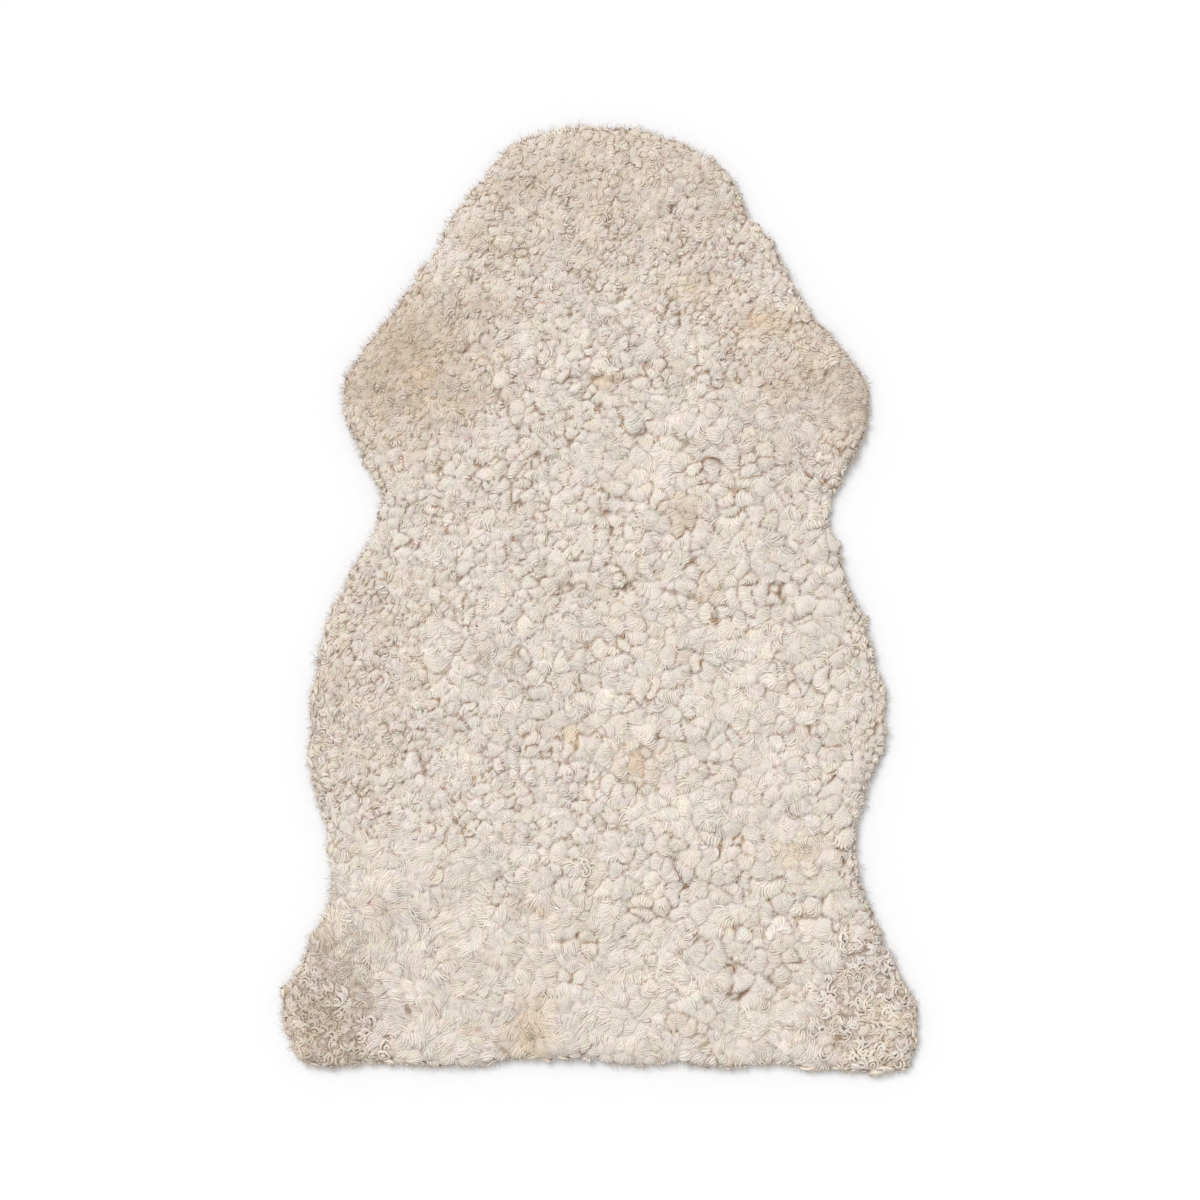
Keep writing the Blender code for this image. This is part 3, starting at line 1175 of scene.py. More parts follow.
    def height(self, places: np.ndarray, near: np.ndarray) -> tuple[np.ndarray, ...]:
        """Works out how high the tufts raise the wool over the partings.

        Args:
            places: in metres, one row each.
            near: the numbers of the tufts near each place.

        Returns:
            The height in millimetres, the number of the tuft, the place's distance along that
            tuft's row in millimetres, and how open the place is: 0 in a parting, 1 on a crown.
        """
        offset = (places[:, None] - self.places[near]) / MM
        reach, row, shift = (part[near] for part in self.footprint())
        over = np.sum(offset * self.aside[near], axis=2)
        ahead = np.sum(offset * self.along[near], axis=2) - self.bend[near] * over**2 / 2
        tilt = 1 + self.overhang * np.clip(ahead / reach, -1, 1)
        inside = 1 - ((ahead / reach) ** 2 + ((over - shift) / row) ** 2) / self.rounded**2
        slope = np.where(inside > 0, np.sqrt(np.clip(inside, 0, 1)) * tilt, self.pit_slope * inside)
        dome = np.maximum(self.crown[near] * slope, -self.pit_depth)
        best = dome.argmax(axis=1)
        every = np.arange(len(places))
        top = dome[every, best]
        next_top = np.partition(dome, -2, axis=1)[:, -2]
        tuft = near[every, best]
        seam = self.parting[tuft] * (1 - np.clip((top - next_top) / self.seam, 0, 1))
        # Openness sets painted shade: colour darkens low down, in a seam, in a fold and on the bed under
        # rings.
        low = 1 - np.clip(top / self.crown[tuft], 0, 1) ** 0.7
        low *= self.low_shade + (1 - self.low_shade) * self.parting[tuft]
        openness = (1 - low) * (1 - self.seam_shade * seam**2)
        openness *= np.where(self.of_habit("turn")[tuft] > self.ring_turn, self.ring_shade, 1.0)
        depth, nearness = parted(places)
        openness *= 1 - self.fold_shade * nearness
        return top - self.groove * seam**2 - depth, tuft, over[every, best], openness


@dataclass
class Lines:
    """Centre lines that the node tree gives their thickness.

    Attributes:
        tufts: all the tufts.
        tuft: the number of each line's tuft.
        lines: their points, an array of lines by points by three, in metres.
        normals: the bed's normals at the points.
        facts: what each point carries for the nodes and the finish, by name.
    """

    tufts: Tufts
    tuft: np.ndarray = field(init=False)
    lines: np.ndarray = field(init=False)
    normals: np.ndarray = field(init=False)
    facts: Facts = field(init=False)

    def shared(self, name: str) -> np.ndarray:
        """A number that lines have from their tufts, one row for each line."""
        return getattr(self.tufts, name)[self.tuft][:, None]

    def rest(self, width: float) -> None:
        """Lifts lines that would sink into the floor, so that they rest on it.

        Args:
            width: how wide the lines are where their thickness is 1, in millimetres.
        """
        lowest = (FLOOR_GAP_MM + self.facts["thickness"] * width / 2) * MM
        self.lines[:, :, 2] = np.maximum(self.lines[:, :, 2], lowest)


@dataclass
class Strands(Lines):
    """The centre lines of one kind of wool's strands, worked out over the undercoat.

    Attributes:
        bed: the surface that the strands lie on.
        wool: the kind of wool.
        first_seed: the seed of the first kind of wool; each next kind has the next.
        wave_drift, wave_stray: how the waves change over the skin and from strand to strand.
        misplaced: how far a strand strays from its place in the row, as a share of the pitch.
        staggered: how far it strays along the row's way, as a share of its length.
        heading_stray: how far it strays from the way of its tuft, in radians.
        likeness: the range in which the strands of a tuft differ in length and turn.
        least_radius: how tight a ring may be, as a share of the strand's width.
        sink: how far a strand's ends sink into the bed.
        overlap: how far a strand that meets the next tuft runs into it.
        half_steps: how many places along each half of a strand are looked at.
        least_length: the length under which a strand that is cut is dropped.
        fold_cut: how near to a fold a strand is cut, from 0 to 1.
        unevenness: how much the strands of a tuft differ in height.
        frizzes: the range of heights to which the tips of frizzy strands stand up.
        ring_height: how high over the bed a ring has to lie to be as pale as a crown, free of painted shade.
        rim_rise, rim_frizz: how far strands and their tips stand out at the rim.
        thicknesses: the range in which strands differ in thickness.
        shaded_ends: the range in which painted shade darkens the ends at a parting.
        tone_stray, tan_stray: how far a strand's colours stray from its tuft's.
        seeds: the range of what tells one strand's fibres from another's.
    """

    bed: Surface
    wool: Wool
    first_seed: int = 100
    wave_drift: Drift = Drift(20, 70)
    wave_stray: float = 0.2
    misplaced: float = 0.25
    staggered: float = 0.05
    heading_stray: float = 0.12
    likeness: Range = (0.85, 1.15)
    least_radius: float = 0.6
    sink: float = 1.3
    overlap: float = 0.4
    half_steps: int = 12
    least_length: float = 2.5
    fold_cut: float = 0.86
    unevenness: float = 0.25
    frizzes: Range = (0.8, 2.6)
    ring_height: float = 1.6
    rim_rise: float = 1.0
    rim_frizz: float = 2.5
    thicknesses: Range = (0.8, 1.2)
    shaded_ends: Range = (0.5, 1.0)
    tone_stray: float = 0.03
    tan_stray: float = 0.08
    seeds: Range = (0, 500)

    def __post_init__(self) -> None:
        """Lays every strand of every tuft."""
        kind = list(Wool).index(self.wool)
        self.habit = HABITS[self.wool]
        self.rings = self.habit.turn > self.tufts.ring_turn
        self.rng = np.random.default_rng(self.first_seed + kind)
        own = np.flatnonzero(self.tufts.kinds == kind)
        count = self.tufts.count[own]
        self.tuft = np.repeat(own, count)
        first = np.repeat(np.cumsum(count) - count, count)
        self.order = np.arange(len(self.tuft)) - first - (np.repeat(count, count) - 1) / 2
        length = self.lay()
        reach, cut = self.trim(length)
        openness = self.lift()
        self.carry(reach, openness, cut)

    def lay(self) -> np.ndarray:
        """Lays the strands of each tuft side by side on the bed.

        Returns:
            The strands' lengths, in millimetres.
        """
        rng, tufts, tuft = self.rng, self.tufts, self.tuft
        total = len(tuft)
        over = (self.order + rng.uniform(-self.misplaced, self.misplaced, total)) * tufts.pitch[tuft]
        bend = tufts.bend[tuft]
        length = tufts.length[tuft] * rng.uniform(*self.likeness, total)
        turn = tufts.turn[tuft] * rng.uniform(*self.likeness, total)
        if self.rings:
            radius = tufts.length[tuft] / np.abs(tufts.turn[tuft]) + over
            radius = np.maximum(radius, self.habit.width * self.least_radius)
            length = radius * np.abs(turn)
            over = -tufts.hand[tuft] * radius
            bend = bend * 0
        stagger = rng.uniform(-self.staggered, self.staggered, total) * self.habit.length
        ahead = bend * over**2 / 2 + stagger
        offset = tufts.aside[tuft] * over[:, None] + tufts.along[tuft] * ahead[:, None]
        middle, normal = self.bed.nearest(tufts.places[tuft] + offset * MM)
        angle = -bend * over + rng.normal(0, self.heading_stray, total)
        heading = turned(tufts.along[tuft], normal, angle)
        self.walk(middle, normal, heading, length, turn)
        return length

    def walk(
        self,
        middle: np.ndarray,
        normal: np.ndarray,
        heading: np.ndarray,
        length: np.ndarray,
        turn: np.ndarray,
    ) -> None:
        """Follows each strand over the bed, from its middle to both its ends.

        Args:
            middle: the strands' middles.
            normal: the bed's normals there.
            heading: the ways the strands run there.
            length: their lengths, in millimetres.
            turn: how far they turn, in radians.
        """
        total, points = len(middle), self.habit.points
        sway = self.wave_drift.at(self.tufts.places[self.tuft])
        sway += self.rng.normal(0, self.wave_stray, total)
        wave = np.radians(self.habit.wave) * sway / (points - 1) * 2
        turn = turn / (points - 1)
        stride = (length * MM / (points - 1))[:, None]
        self.lines = np.zeros((total, points, 3))
        self.normals = np.zeros_like(self.lines)
        if points % 2:
            self.lines[:, points // 2], self.normals[:, points // 2] = middle, normal
        halves = ((1, range((points + 1) // 2, points)), (-1, range(points // 2 - 1, -1, -1)))
        for sense, numbers in halves:
            place, facing, course = middle, normal, heading * sense
            share = 1.0 if points % 2 else 0.5
            for number in numbers:
                course = turned(course, facing, (sense * turn + wave) * share)
                place, facing = self.bed.nearest(place + course * stride * share)
                self.lines[:, number], self.normals[:, number] = place, facing
                share = 1.0

    def trim(self, length: np.ndarray) -> tuple[np.ndarray, np.ndarray]:
        """Cuts strands off where they meet the next tuft, and drops those that it hides.

        Args:
            length: the strands' lengths, in millimetres.

        Returns:
            How far along its strand each kept point lies, in millimetres, and whether each
            kept strand was cut.
        """
        ahead, behind, crossing = self.runs()
        total, half = len(length), self.half_steps
        cut = (self.rng.random(total) < self.tufts.parting[self.tuft]) | crossing
        if self.rings:
            cut = np.zeros(total, bool)
        start = np.where(cut, 0.5 - (behind - 1) * 0.5 / half - self.overlap / length, 0)
        end = np.where(cut, 0.5 + (ahead - 1) * 0.5 / half + self.overlap / length, 1)
        start, end = np.clip(start, 0, 1), np.clip(end, 0, 1)
        kept = np.flatnonzero(~cut | ((ahead > 0) & ((end - start) * length > self.least_length)))
        self.tuft, self.order = self.tuft[kept], self.order[kept]
        shares = start[kept, None] + (end - start)[kept, None] * eased(self.habit.points)
        self.lines = sampled(self.lines[kept], shares)
        self.normals = sampled(self.normals[kept], shares)
        return shares * length[kept, None], cut[kept]

    def runs(self) -> tuple[np.ndarray, np.ndarray, np.ndarray]:
        """Looks along the strands for where they leave their own tuft or reach a fold.

        Returns:
            How many steps ahead of its middle and behind it each strand stays on its tuft, and
            whether it crosses a fold.
        """
        total, steps = len(self.lines), 2 * self.half_steps + 1
        even = np.linspace(0, 1, steps)[None].repeat(total, axis=0)
        spots = sampled(self.lines, even).reshape(-1, 3)
        near = np.repeat(self.tufts.beside[self.tuft], steps, axis=0)
        owner = self.tufts.height(spots, near)[1].reshape(total, steps)
        crossing = parted(spots)[1].reshape(total, steps) > self.fold_cut
        own = (owner == self.tuft[:, None]) & ~crossing
        ahead = np.cumprod(own[:, self.half_steps :], axis=1).sum(axis=1)
        behind = np.cumprod(own[:, self.half_steps :: -1], axis=1).sum(axis=1)
        return ahead, behind, crossing.any(axis=1)

    def lift(self) -> np.ndarray:
        """Raises the strands out of the bed.

        Returns:
            How open each point's place is: 0 in a parting, 1 on a crown.
        """
        rng, tufts, tuft = self.rng, self.tufts, self.tuft
        total, points = self.lines.shape[:2]
        along = eased(points)
        frizz = (rng.random(total) < self.habit.frizz) * rng.uniform(*self.frizzes, total)
        if self.rings:
            # Painted shade: a ring is darker where it lies low over the bed.
            rise = self.shared("level") * np.sin(math.pi * along) ** 0.6
            openness = np.clip(0.45 + 0.6 * rise / self.ring_height, 0, 1)
        else:
            rise = self.habit.proud - self.sink * np.abs(2 * along - 1) ** 4 * np.ones((total, 1))
            near = np.repeat(tufts.beside[tuft], points, axis=0)
            openness = tufts.height(self.lines.reshape(-1, 3), near)[3].reshape(total, points)
        rise = rise + rng.uniform(-1, 1, (total, 1)) * self.unevenness
        rim = np.clip((0.6 - tufts.normals[tuft, 2]) * 2, 0, 1)[:, None]
        rim_frizz = self.rim_frizz * rng.uniform(-1, 1, (total, 1)).clip(0) * along**2
        rise = rise + rim * (self.rim_rise + rim_frizz)
        standing = np.maximum(rise, 0.2) + frizz[:, None] * along**3
        rise = np.where(frizz[:, None] > 0, standing, rise)
        self.lines += self.normals * (rise * MM)[:, :, None]
        return openness

    def carry(self, reach: np.ndarray, openness: np.ndarray, cut: np.ndarray) -> None:
        """Works out what each point carries.

        Args:
            reach: how far along its strand each point lies, in millimetres.
            openness: how open each point's place is.
            cut: whether each strand ends where it meets the next tuft.
        """
        rng, tufts, tuft = self.rng, self.tufts, self.tuft
        total, points = self.lines.shape[:2]
        along = eased(points)
        ended = (along == 0) | (along == 1)
        # Marks where painted shade goes: on the sides of a row's outer strands, and at the ends cut at a
        # parting.
        outer = np.abs(self.order) > (tufts.count[tuft] - 1) / 2 - 0.5
        if self.rings:
            outer = np.zeros(total, bool)
        taper = np.where(ended, 0.0, np.sin(math.pi * np.clip(along, 0.01, 0.99)) ** 0.3)
        full = np.ones((total, points))
        self.facts = {
            "thickness": taper * rng.uniform(*self.thicknesses, (total, 1)) * self.shared("bold"),
            "depth": openness * full,
            "shade": outer[:, None] * full,
            "end": np.abs(2 * along - 1) * full,
            "parting": (cut * rng.uniform(*self.shaded_ends, total))[:, None] * full,
            "tone": self.shared("tone") * rng.normal(1.0, self.tone_stray, (total, 1)) * full,
            "warmth": self.shared("warmth") * full,
            "tan": np.clip(self.shared("tan") + rng.normal(0, self.tan_stray, (total, 1)), 0, 1) * full,
            "stain": self.shared("stain") * full,
            "along": reach,
            "seed": rng.uniform(*self.seeds, (total, 1)) * full,
        }
        self.rest(self.habit.width)


@dataclass
class Fuzz(Lines):
    """Fine stray hairs that soften the rim and lie across the tufts. Sizes in millimetres.

    Attributes:
        bed: the surface that they root in.
        form: the shape that they are strewn on.
        tries, seed: how many places are tried for a hair, and the seed of all that is random.
        points: the points along a hair.
        width: its width.
        steep: how little a place on the rim looks up, from 1 to 0.
        kept_on_top: the share of the places off the rim that keep their hair.
        shortest, longest: how long the hairs are.
        curl: how far they swerve on their way.
        outward_stray, sideways_stray: how far they stray on the rim and on top.
        standing: the range in which the hairs on top stand up.
        thicknesses: the range in which hairs differ in thickness.
        tone_stray: how far a hair's tone strays from its tuft's.
        seeds: the range of what tells one hair's fibres from another's.
    """

    bed: Surface
    form: FleeceForm
    name: str = "wool_fuzz"
    tries: int = 84000
    seed: int = 31
    points: int = 5
    width: float = 0.55
    steep: float = 0.55
    kept_on_top: float = 0.035
    shortest: float = 5.0
    longest: float = 11.0
    curl: float = 0.7
    outward_stray: float = 0.5
    sideways_stray: float = 1.2
    standing: Range = (0.15, 0.5)
    thicknesses: Range = (0.7, 1.3)
    tone_stray: float = 0.04
    seeds: Range = (0, 500)

    def __post_init__(self) -> None:
        """Strews the hairs, most of them round the rim."""
        rng = np.random.default_rng(self.seed)
        places, normals = self.form.strewn(self.tries, self.seed)
        on_rim = normals[:, 2] < self.steep
        kept = on_rim | (rng.random(self.tries) < self.kept_on_top)
        root, normal = self.bed.nearest(places[kept])
        self.tuft = self.tufts.nearest(root, 1)[:, 0]
        self.grow(rng, root, self.courses(rng, normal, on_rim[kept]))
        self.normals = np.repeat(normal[:, None], self.points, axis=1)
        self.carry(rng)

    def courses(self, rng: np.random.Generator, normal: np.ndarray, on_rim: np.ndarray) -> np.ndarray:
        """The ways the hairs set off: outwards on the rim, elsewhere across their tufts.

        Args:
            rng: the random numbers.
            normal: the bed's normals at the roots.
            on_rim: whether each hair roots on the rim.

        Returns:
            A direction for each hair.
        """
        total = len(normal)
        outward = unit(normal * (1, 1, 0.3)) + rng.normal(0, self.outward_stray, (total, 3))
        stray = rng.normal(0, self.sideways_stray, total)
        sideways = turned(self.tufts.along[self.tuft], normal, stray)
        risen = sideways + normal * rng.uniform(*self.standing, (total, 1))
        return np.where(on_rim[:, None], outward, risen)

    def grow(self, rng: np.random.Generator, root: np.ndarray, course: np.ndarray) -> None:
        """Works out the hairs' points, from the roots on.

        Args:
            rng: the random numbers.
            root: the hairs' roots.
            course: the ways they set off.
        """
        total = len(root)
        swerve = rng.normal(0, self.curl, (total, 3))
        stride = rng.uniform(self.shortest, self.longest, (total, 1)) * MM / (self.points - 1)
        lines = [root]
        for number in range(1, self.points):
            lines.append(lines[-1] + unit(course) * stride)
            course = unit(course) + swerve * number / self.points
        self.lines = np.stack(lines, axis=1)

    def carry(self, rng: np.random.Generator) -> None:
        """Works out what each point carries.

        Args:
            rng: the random numbers.
        """
        total = len(self.lines)
        share = np.linspace(0, 1, self.points)[None]
        full = np.ones((total, self.points))
        taper = np.where((share == 0) | (share == 1), 0.0, 1.1 - 0.6 * share)
        self.facts = {
            "thickness": taper * rng.uniform(*self.thicknesses, (total, 1)),
            "depth": full,
            "shade": 0 * full,
            "end": 0 * full,
            "parting": 0 * full,
            "tone": self.shared("tone") * rng.normal(1.0, self.tone_stray, (total, 1)) * full,
            "warmth": self.shared("warmth") * full,
            "tan": self.shared("tan") * full,
            "stain": self.shared("stain") * full,
            "along": share * self.longest * full,
            "seed": rng.uniform(*self.seeds, (total, 1)) * full,
        }
        self.rest(self.width)


class WispTree:
    """The node tree that turns centre lines into tapered, closed wisps with a ridge on top."""

    WIDTH = "Strand width"
    FLATNESS = "Flatness"
    SIDES = "Sides"
    MATERIAL = "Material"
    SAME_PLACE = 0.0001 * MM

    def __init__(self, name: str = "wisps") -> None:
        """Builds the tree.

        Args:
            name: the tree's name.
        """
        self.tree = bpy.data.node_groups.new(name, "GeometryNodeTree")
        sockets = {
            "Geometry": "NodeSocketGeometry",
            self.WIDTH: "NodeSocketFloat",
            self.FLATNESS: "NodeSocketFloat",
            self.SIDES: "NodeSocketInt",
            self.MATERIAL: "NodeSocketMaterial",
        }
        for socket, kind in sockets.items():
            self.tree.interface.new_socket(socket, in_out="INPUT", socket_type=kind)
        self.tree.interface.new_socket("Geometry", in_out="OUTPUT", socket_type="NodeSocketGeometry")
        self.build()

    def add(self, kind: str, values: dict | None = None, **settings) -> bpy.types.Node:
        """Adds a node.

        Args:
            kind: the node's type.
            values: its inputs' values, by name.
            **settings: its properties.

        Returns:
            The node.
        """
        node = self.tree.nodes.new(kind)
        for key, value in settings.items():
            setattr(node, key, value)
        for key, value in (values or {}).items():
            node.inputs[key].default_value = value
        return node

    def link(self, start: Socket, end: Socket) -> None:
        """Links two sockets."""
        self.tree.links.new(start, end)

    def carried(self, name: str, kind: str) -> Socket:
        """What the lines' points carry under a name."""
        node = self.add("GeometryNodeInputNamedAttribute", {"Name": name}, data_type=kind)
        return node.outputs["Attribute"]

    def stored(self, name: str, geometry: Socket, value: Socket) -> Socket:
        """The geometry with a number stored on its points under a name."""
        node = self.add("GeometryNodeStoreNamedAttribute", {"Name": name}, data_type="FLOAT", domain="POINT")
        self.link(geometry, node.inputs["Geometry"])
        self.link(value, node.inputs["Value"])
        return node.outputs["Geometry"]

    def build(self) -> None:
        """Lines to curves, curves to wisps, tips closed, finish set."""
        given = self.add("NodeGroupInput")
        result = self.add("NodeGroupOutput")
        curve = self.add("GeometryNodeMeshToCurve")
        upright = self.add("GeometryNodeSetCurveNormal", mode="FREE")
        self.link(given.outputs["Geometry"], curve.inputs[0])
        self.link(curve.outputs[0], upright.inputs["Curve"])
        self.link(self.carried("up", "FLOAT_VECTOR"), upright.inputs["Normal"])

        radius = self.add("ShaderNodeMath", operation="MULTIPLY")
        self.link(self.carried("thickness", "FLOAT"), radius.inputs[0])
        self.link(given.outputs[self.WIDTH], radius.inputs[1])

        wisp = self.add("GeometryNodeCurveToMesh")
        self.link(upright.outputs[0], wisp.inputs["Curve"])
        self.link(self.profile(given), wisp.inputs["Profile Curve"])
        self.link(radius.outputs[0], wisp.inputs["Scale"])

        closed = self.add("GeometryNodeMergeByDistance", {"Distance": self.SAME_PLACE})
        smooth = self.add("GeometryNodeSetShadeSmooth")
        real = self.add("GeometryNodeRealizeInstances")
        dressed = self.add("GeometryNodeSetMaterial")
        chain = (wisp, closed, smooth, real, dressed)
        for before, after in zip(chain, chain[1:]):
            self.link(before.outputs[0], after.inputs[0])
        self.link(given.outputs[self.MATERIAL], dressed.inputs["Material"])
        self.link(dressed.outputs[0], result.inputs[0])

    def profile(self, given: bpy.types.Node) -> Socket:
        """The wisps' cross-section: a flattened ring, one wide, with a point on top.

        Args:
            given: the tree's inputs.

        Returns:
            The socket that gives the ring.
        """
        ring = self.add("GeometryNodeCurvePrimitiveCircle", {"Radius": 0.5}, mode="RADIUS")
        self.link(given.outputs[self.SIDES], ring.inputs["Resolution"])
        flat = self.add("ShaderNodeCombineXYZ", {"Y": 1.0, "Z": 1.0})
        self.link(given.outputs[self.FLATNESS], flat.inputs["X"])
        squashed = self.add("GeometryNodeTransform")
        self.link(ring.outputs["Curve"], squashed.inputs["Geometry"])
        self.link(flat.outputs[0], squashed.inputs["Scale"])
        place = self.add("GeometryNodeSplineParameter")
        around = self.stored("around", squashed.outputs[0], place.outputs["Factor"])
        beside_ridge = self.add("ShaderNodeMath", operation="MINIMUM")
        beside_ridge.inputs[1].default_value = 1.0
        self.link(self.add("GeometryNodeInputIndex").outputs[0], beside_ridge.inputs[0])
        return self.stored("side", around, beside_ridge.outputs[0])

    def identifier(self, name: str) -> str:
        """The identifier of an input, from its name."""
        items = self.tree.interface.items_tree
        return next(item.identifier for item in items if item.name == name and item.in_out == "INPUT")

    def run(self, obj: bpy.types.Object, settings: dict[str, object]) -> bpy.types.Mesh:
        """Runs the tree on an object's lines.

        Args:
            obj: the object that holds the lines.
            settings: the inputs' values, by name.

        Returns:
            The wisps as a plain mesh.
        """
        modifier = obj.modifiers.new("wisps", "NODES")
        modifier.node_group = self.tree
        for name, value in settings.items():
            modifier[self.identifier(name)] = value
        mesh = applied(obj)
        obj.modifiers.remove(modifier)
        return mesh


@dataclass
class Undercoat:
    """The bed of wool that the strands lie on, with a lump under each tuft. Sizes in millimetres.

    Attributes:
        form: the shape that it is raised from.
        tufts: all the tufts.
        sink: how far it is sunk under the form before its lumps are raised.
        base: how high over the floor its lowest points are, inside the hide.
        wool_side: how far down a face may look and still be split finer, from 0 to -1.
        smoothing: how many times it is smoothed.
        ease: how much it is smoothed each time.
        neighbours: how many tufts about a point are looked at.
        bed: its surface, once it is built.
    """

    form: FleeceForm
    tufts: Tufts
    sink: float = 2.0
    base: float = 1.0
    wool_side: float = -0.1
    smoothing: int = 1
    ease: float = 0.35
    neighbours: int = 8
    name: str = "undercoat"
    bed: Surface = field(init=False)

    def build(self, finish: UndercoatFinish) -> bpy.types.Object:
        """Raises the form's wool side into lumps and sets its underside into the hide.

        Args:
            finish: its finish.

        Returns:
            The piece.
        """
        bm = worked_copy(self.form.mesh)
        wool_side = {edge for face in bm.faces if face.normal.z > self.wool_side for edge in face.edges}
        bmesh.ops.subdivide_edges(bm, edges=list(wool_side), cuts=1, use_grid_fill=True)
        bmesh.ops.triangulate(bm, faces=[face for face in bm.faces if len(face.verts) > 4])
        bm.normal_update()
        facts = self.raise_lumps(bm)
        axes = {"use_axis_x": True, "use_axis_y": True, "use_axis_z": True}
        for _ in range(self.smoothing):
            bmesh.ops.smooth_vert(bm, verts=bm.verts, factor=self.ease, **axes)
        bm.normal_update()
        self.bed = Surface(bm)
        mesh = finished_mesh(self.name, bm)
        load_facts(mesh, facts)
        mesh.shade_smooth()
        mesh.materials.append(finish.material())
        return add_object(self.name, mesh)

    def raise_lumps(self, bm: bmesh.types.BMesh) -> Facts:
        """Moves the bed's points along their normals.

        Args:
            bm: the bed under construction.

        Returns:
            What each point carries for the finish, by name.
        """
        places = np.array([vertex.co for vertex in bm.verts])
        normals = np.array([vertex.normal for vertex in bm.verts])
        near = self.tufts.nearest(places, self.neighbours)
        height, tuft, over, openness = self.tufts.height(places, near)
        share = np.clip((normals[:, 2] + 0.5) * 2, 0, 1)
        moved = places + normals * ((height * share - self.sink) * MM)[:, None]
        moved[:, 2] = np.maximum(moved[:, 2], self.base * MM)
        for vertex, place in zip(bm.verts, moved.tolist()):
            vertex.co = place
        colouring = {key: getattr(self.tufts, key)[tuft] for key in ("tone", "tan", "stain")}
        # depth carries painted shade: the bed's colour darkens where it lies low or parted.
        return {"depth": openness * share, "over": over, **colouring}


@dataclass
class Hide:
    """The tanned hide that the wool grows from, a sheet on the floor. Sizes in millimetres.

    Attributes:
        form: the shape whose underside it is.
        thickness: how thick it is.
        facing_down: how far down a face has to look to be part of it, from 0 to -1.
        edge_smoothing: how many times its edge is smoothed.
        ease: how much its edge is smoothed each time.
        kept_share: the share of its triangles that are kept, because it is nearly flat.
    """

    form: FleeceForm
    thickness: float = 2.0
    facing_down: float = -0.8
    edge_smoothing: int = 12
    ease: float = 0.5
    kept_share: float = 0.12
    name: str = "hide"

    def build(self, finish: SuedeFinish) -> bpy.types.Object:
        """Cuts the sheet from the form's underside and gives it its thickness.

        Args:
            finish: its finish.

        Returns:
            The piece.
        """
        bm = worked_copy(self.form.mesh)
        rest = [face for face in bm.faces if face.normal.z > self.facing_down]
        bmesh.ops.delete(bm, geom=rest, context="FACES")
        self.keep_largest(bm)
        for _ in range(self.edge_smoothing):
            rim = [vertex for vertex in bm.verts if vertex.is_boundary]
            bmesh.ops.smooth_vert(bm, verts=rim, factor=self.ease, use_axis_x=True, use_axis_y=True)
        for vertex in bm.verts:
            vertex.co.z = max(vertex.co.z, 0.0)
        obj = add_object(self.name, finished_mesh(self.name, bm))
        coarser = obj.modifiers.new("coarser", "DECIMATE")
        coarser.ratio = self.kept_share
        wall = obj.modifiers.new("thickness", "SOLIDIFY")
        wall.thickness = self.thickness * MM
        wall.offset = -1.0
        thick = applied(obj)
        obj.modifiers.remove(wall)
        obj.modifiers.remove(coarser)
        obj.data = thick
        thick.shade_smooth()
        thick.materials.append(finish.material())
        return obj

    def keep_largest(self, bm: bmesh.types.BMesh) -> None:
        """Drops the crumbs that the cut leaves beside the sheet.

        Args:
            bm: the cut underside.
        """
        islands = []
        unseen = set(bm.faces)
        while unseen:
            island, edge = set(), {unseen.pop()}
            while edge:
                face = edge.pop()
                island.add(face)
                beside = {other for link in face.edges for other in link.link_faces}
                edge |= beside & unseen
                unseen -= beside
            islands.append(island)
        largest = max(islands, key=len)
        crumbs = [face for face in bm.faces if face not in largest]
        bmesh.ops.delete(bm, geom=crumbs, context="FACES")

    def declare(self, obj: bpy.types.Object) -> None:
        """Works out the flat area of the sheet's underside, and does nothing with it.

        Args:
            obj: the sheet.
        """
        faces = (polygon.area for polygon in obj.data.polygons if polygon.normal.z < self.facing_down)
        sum(faces)


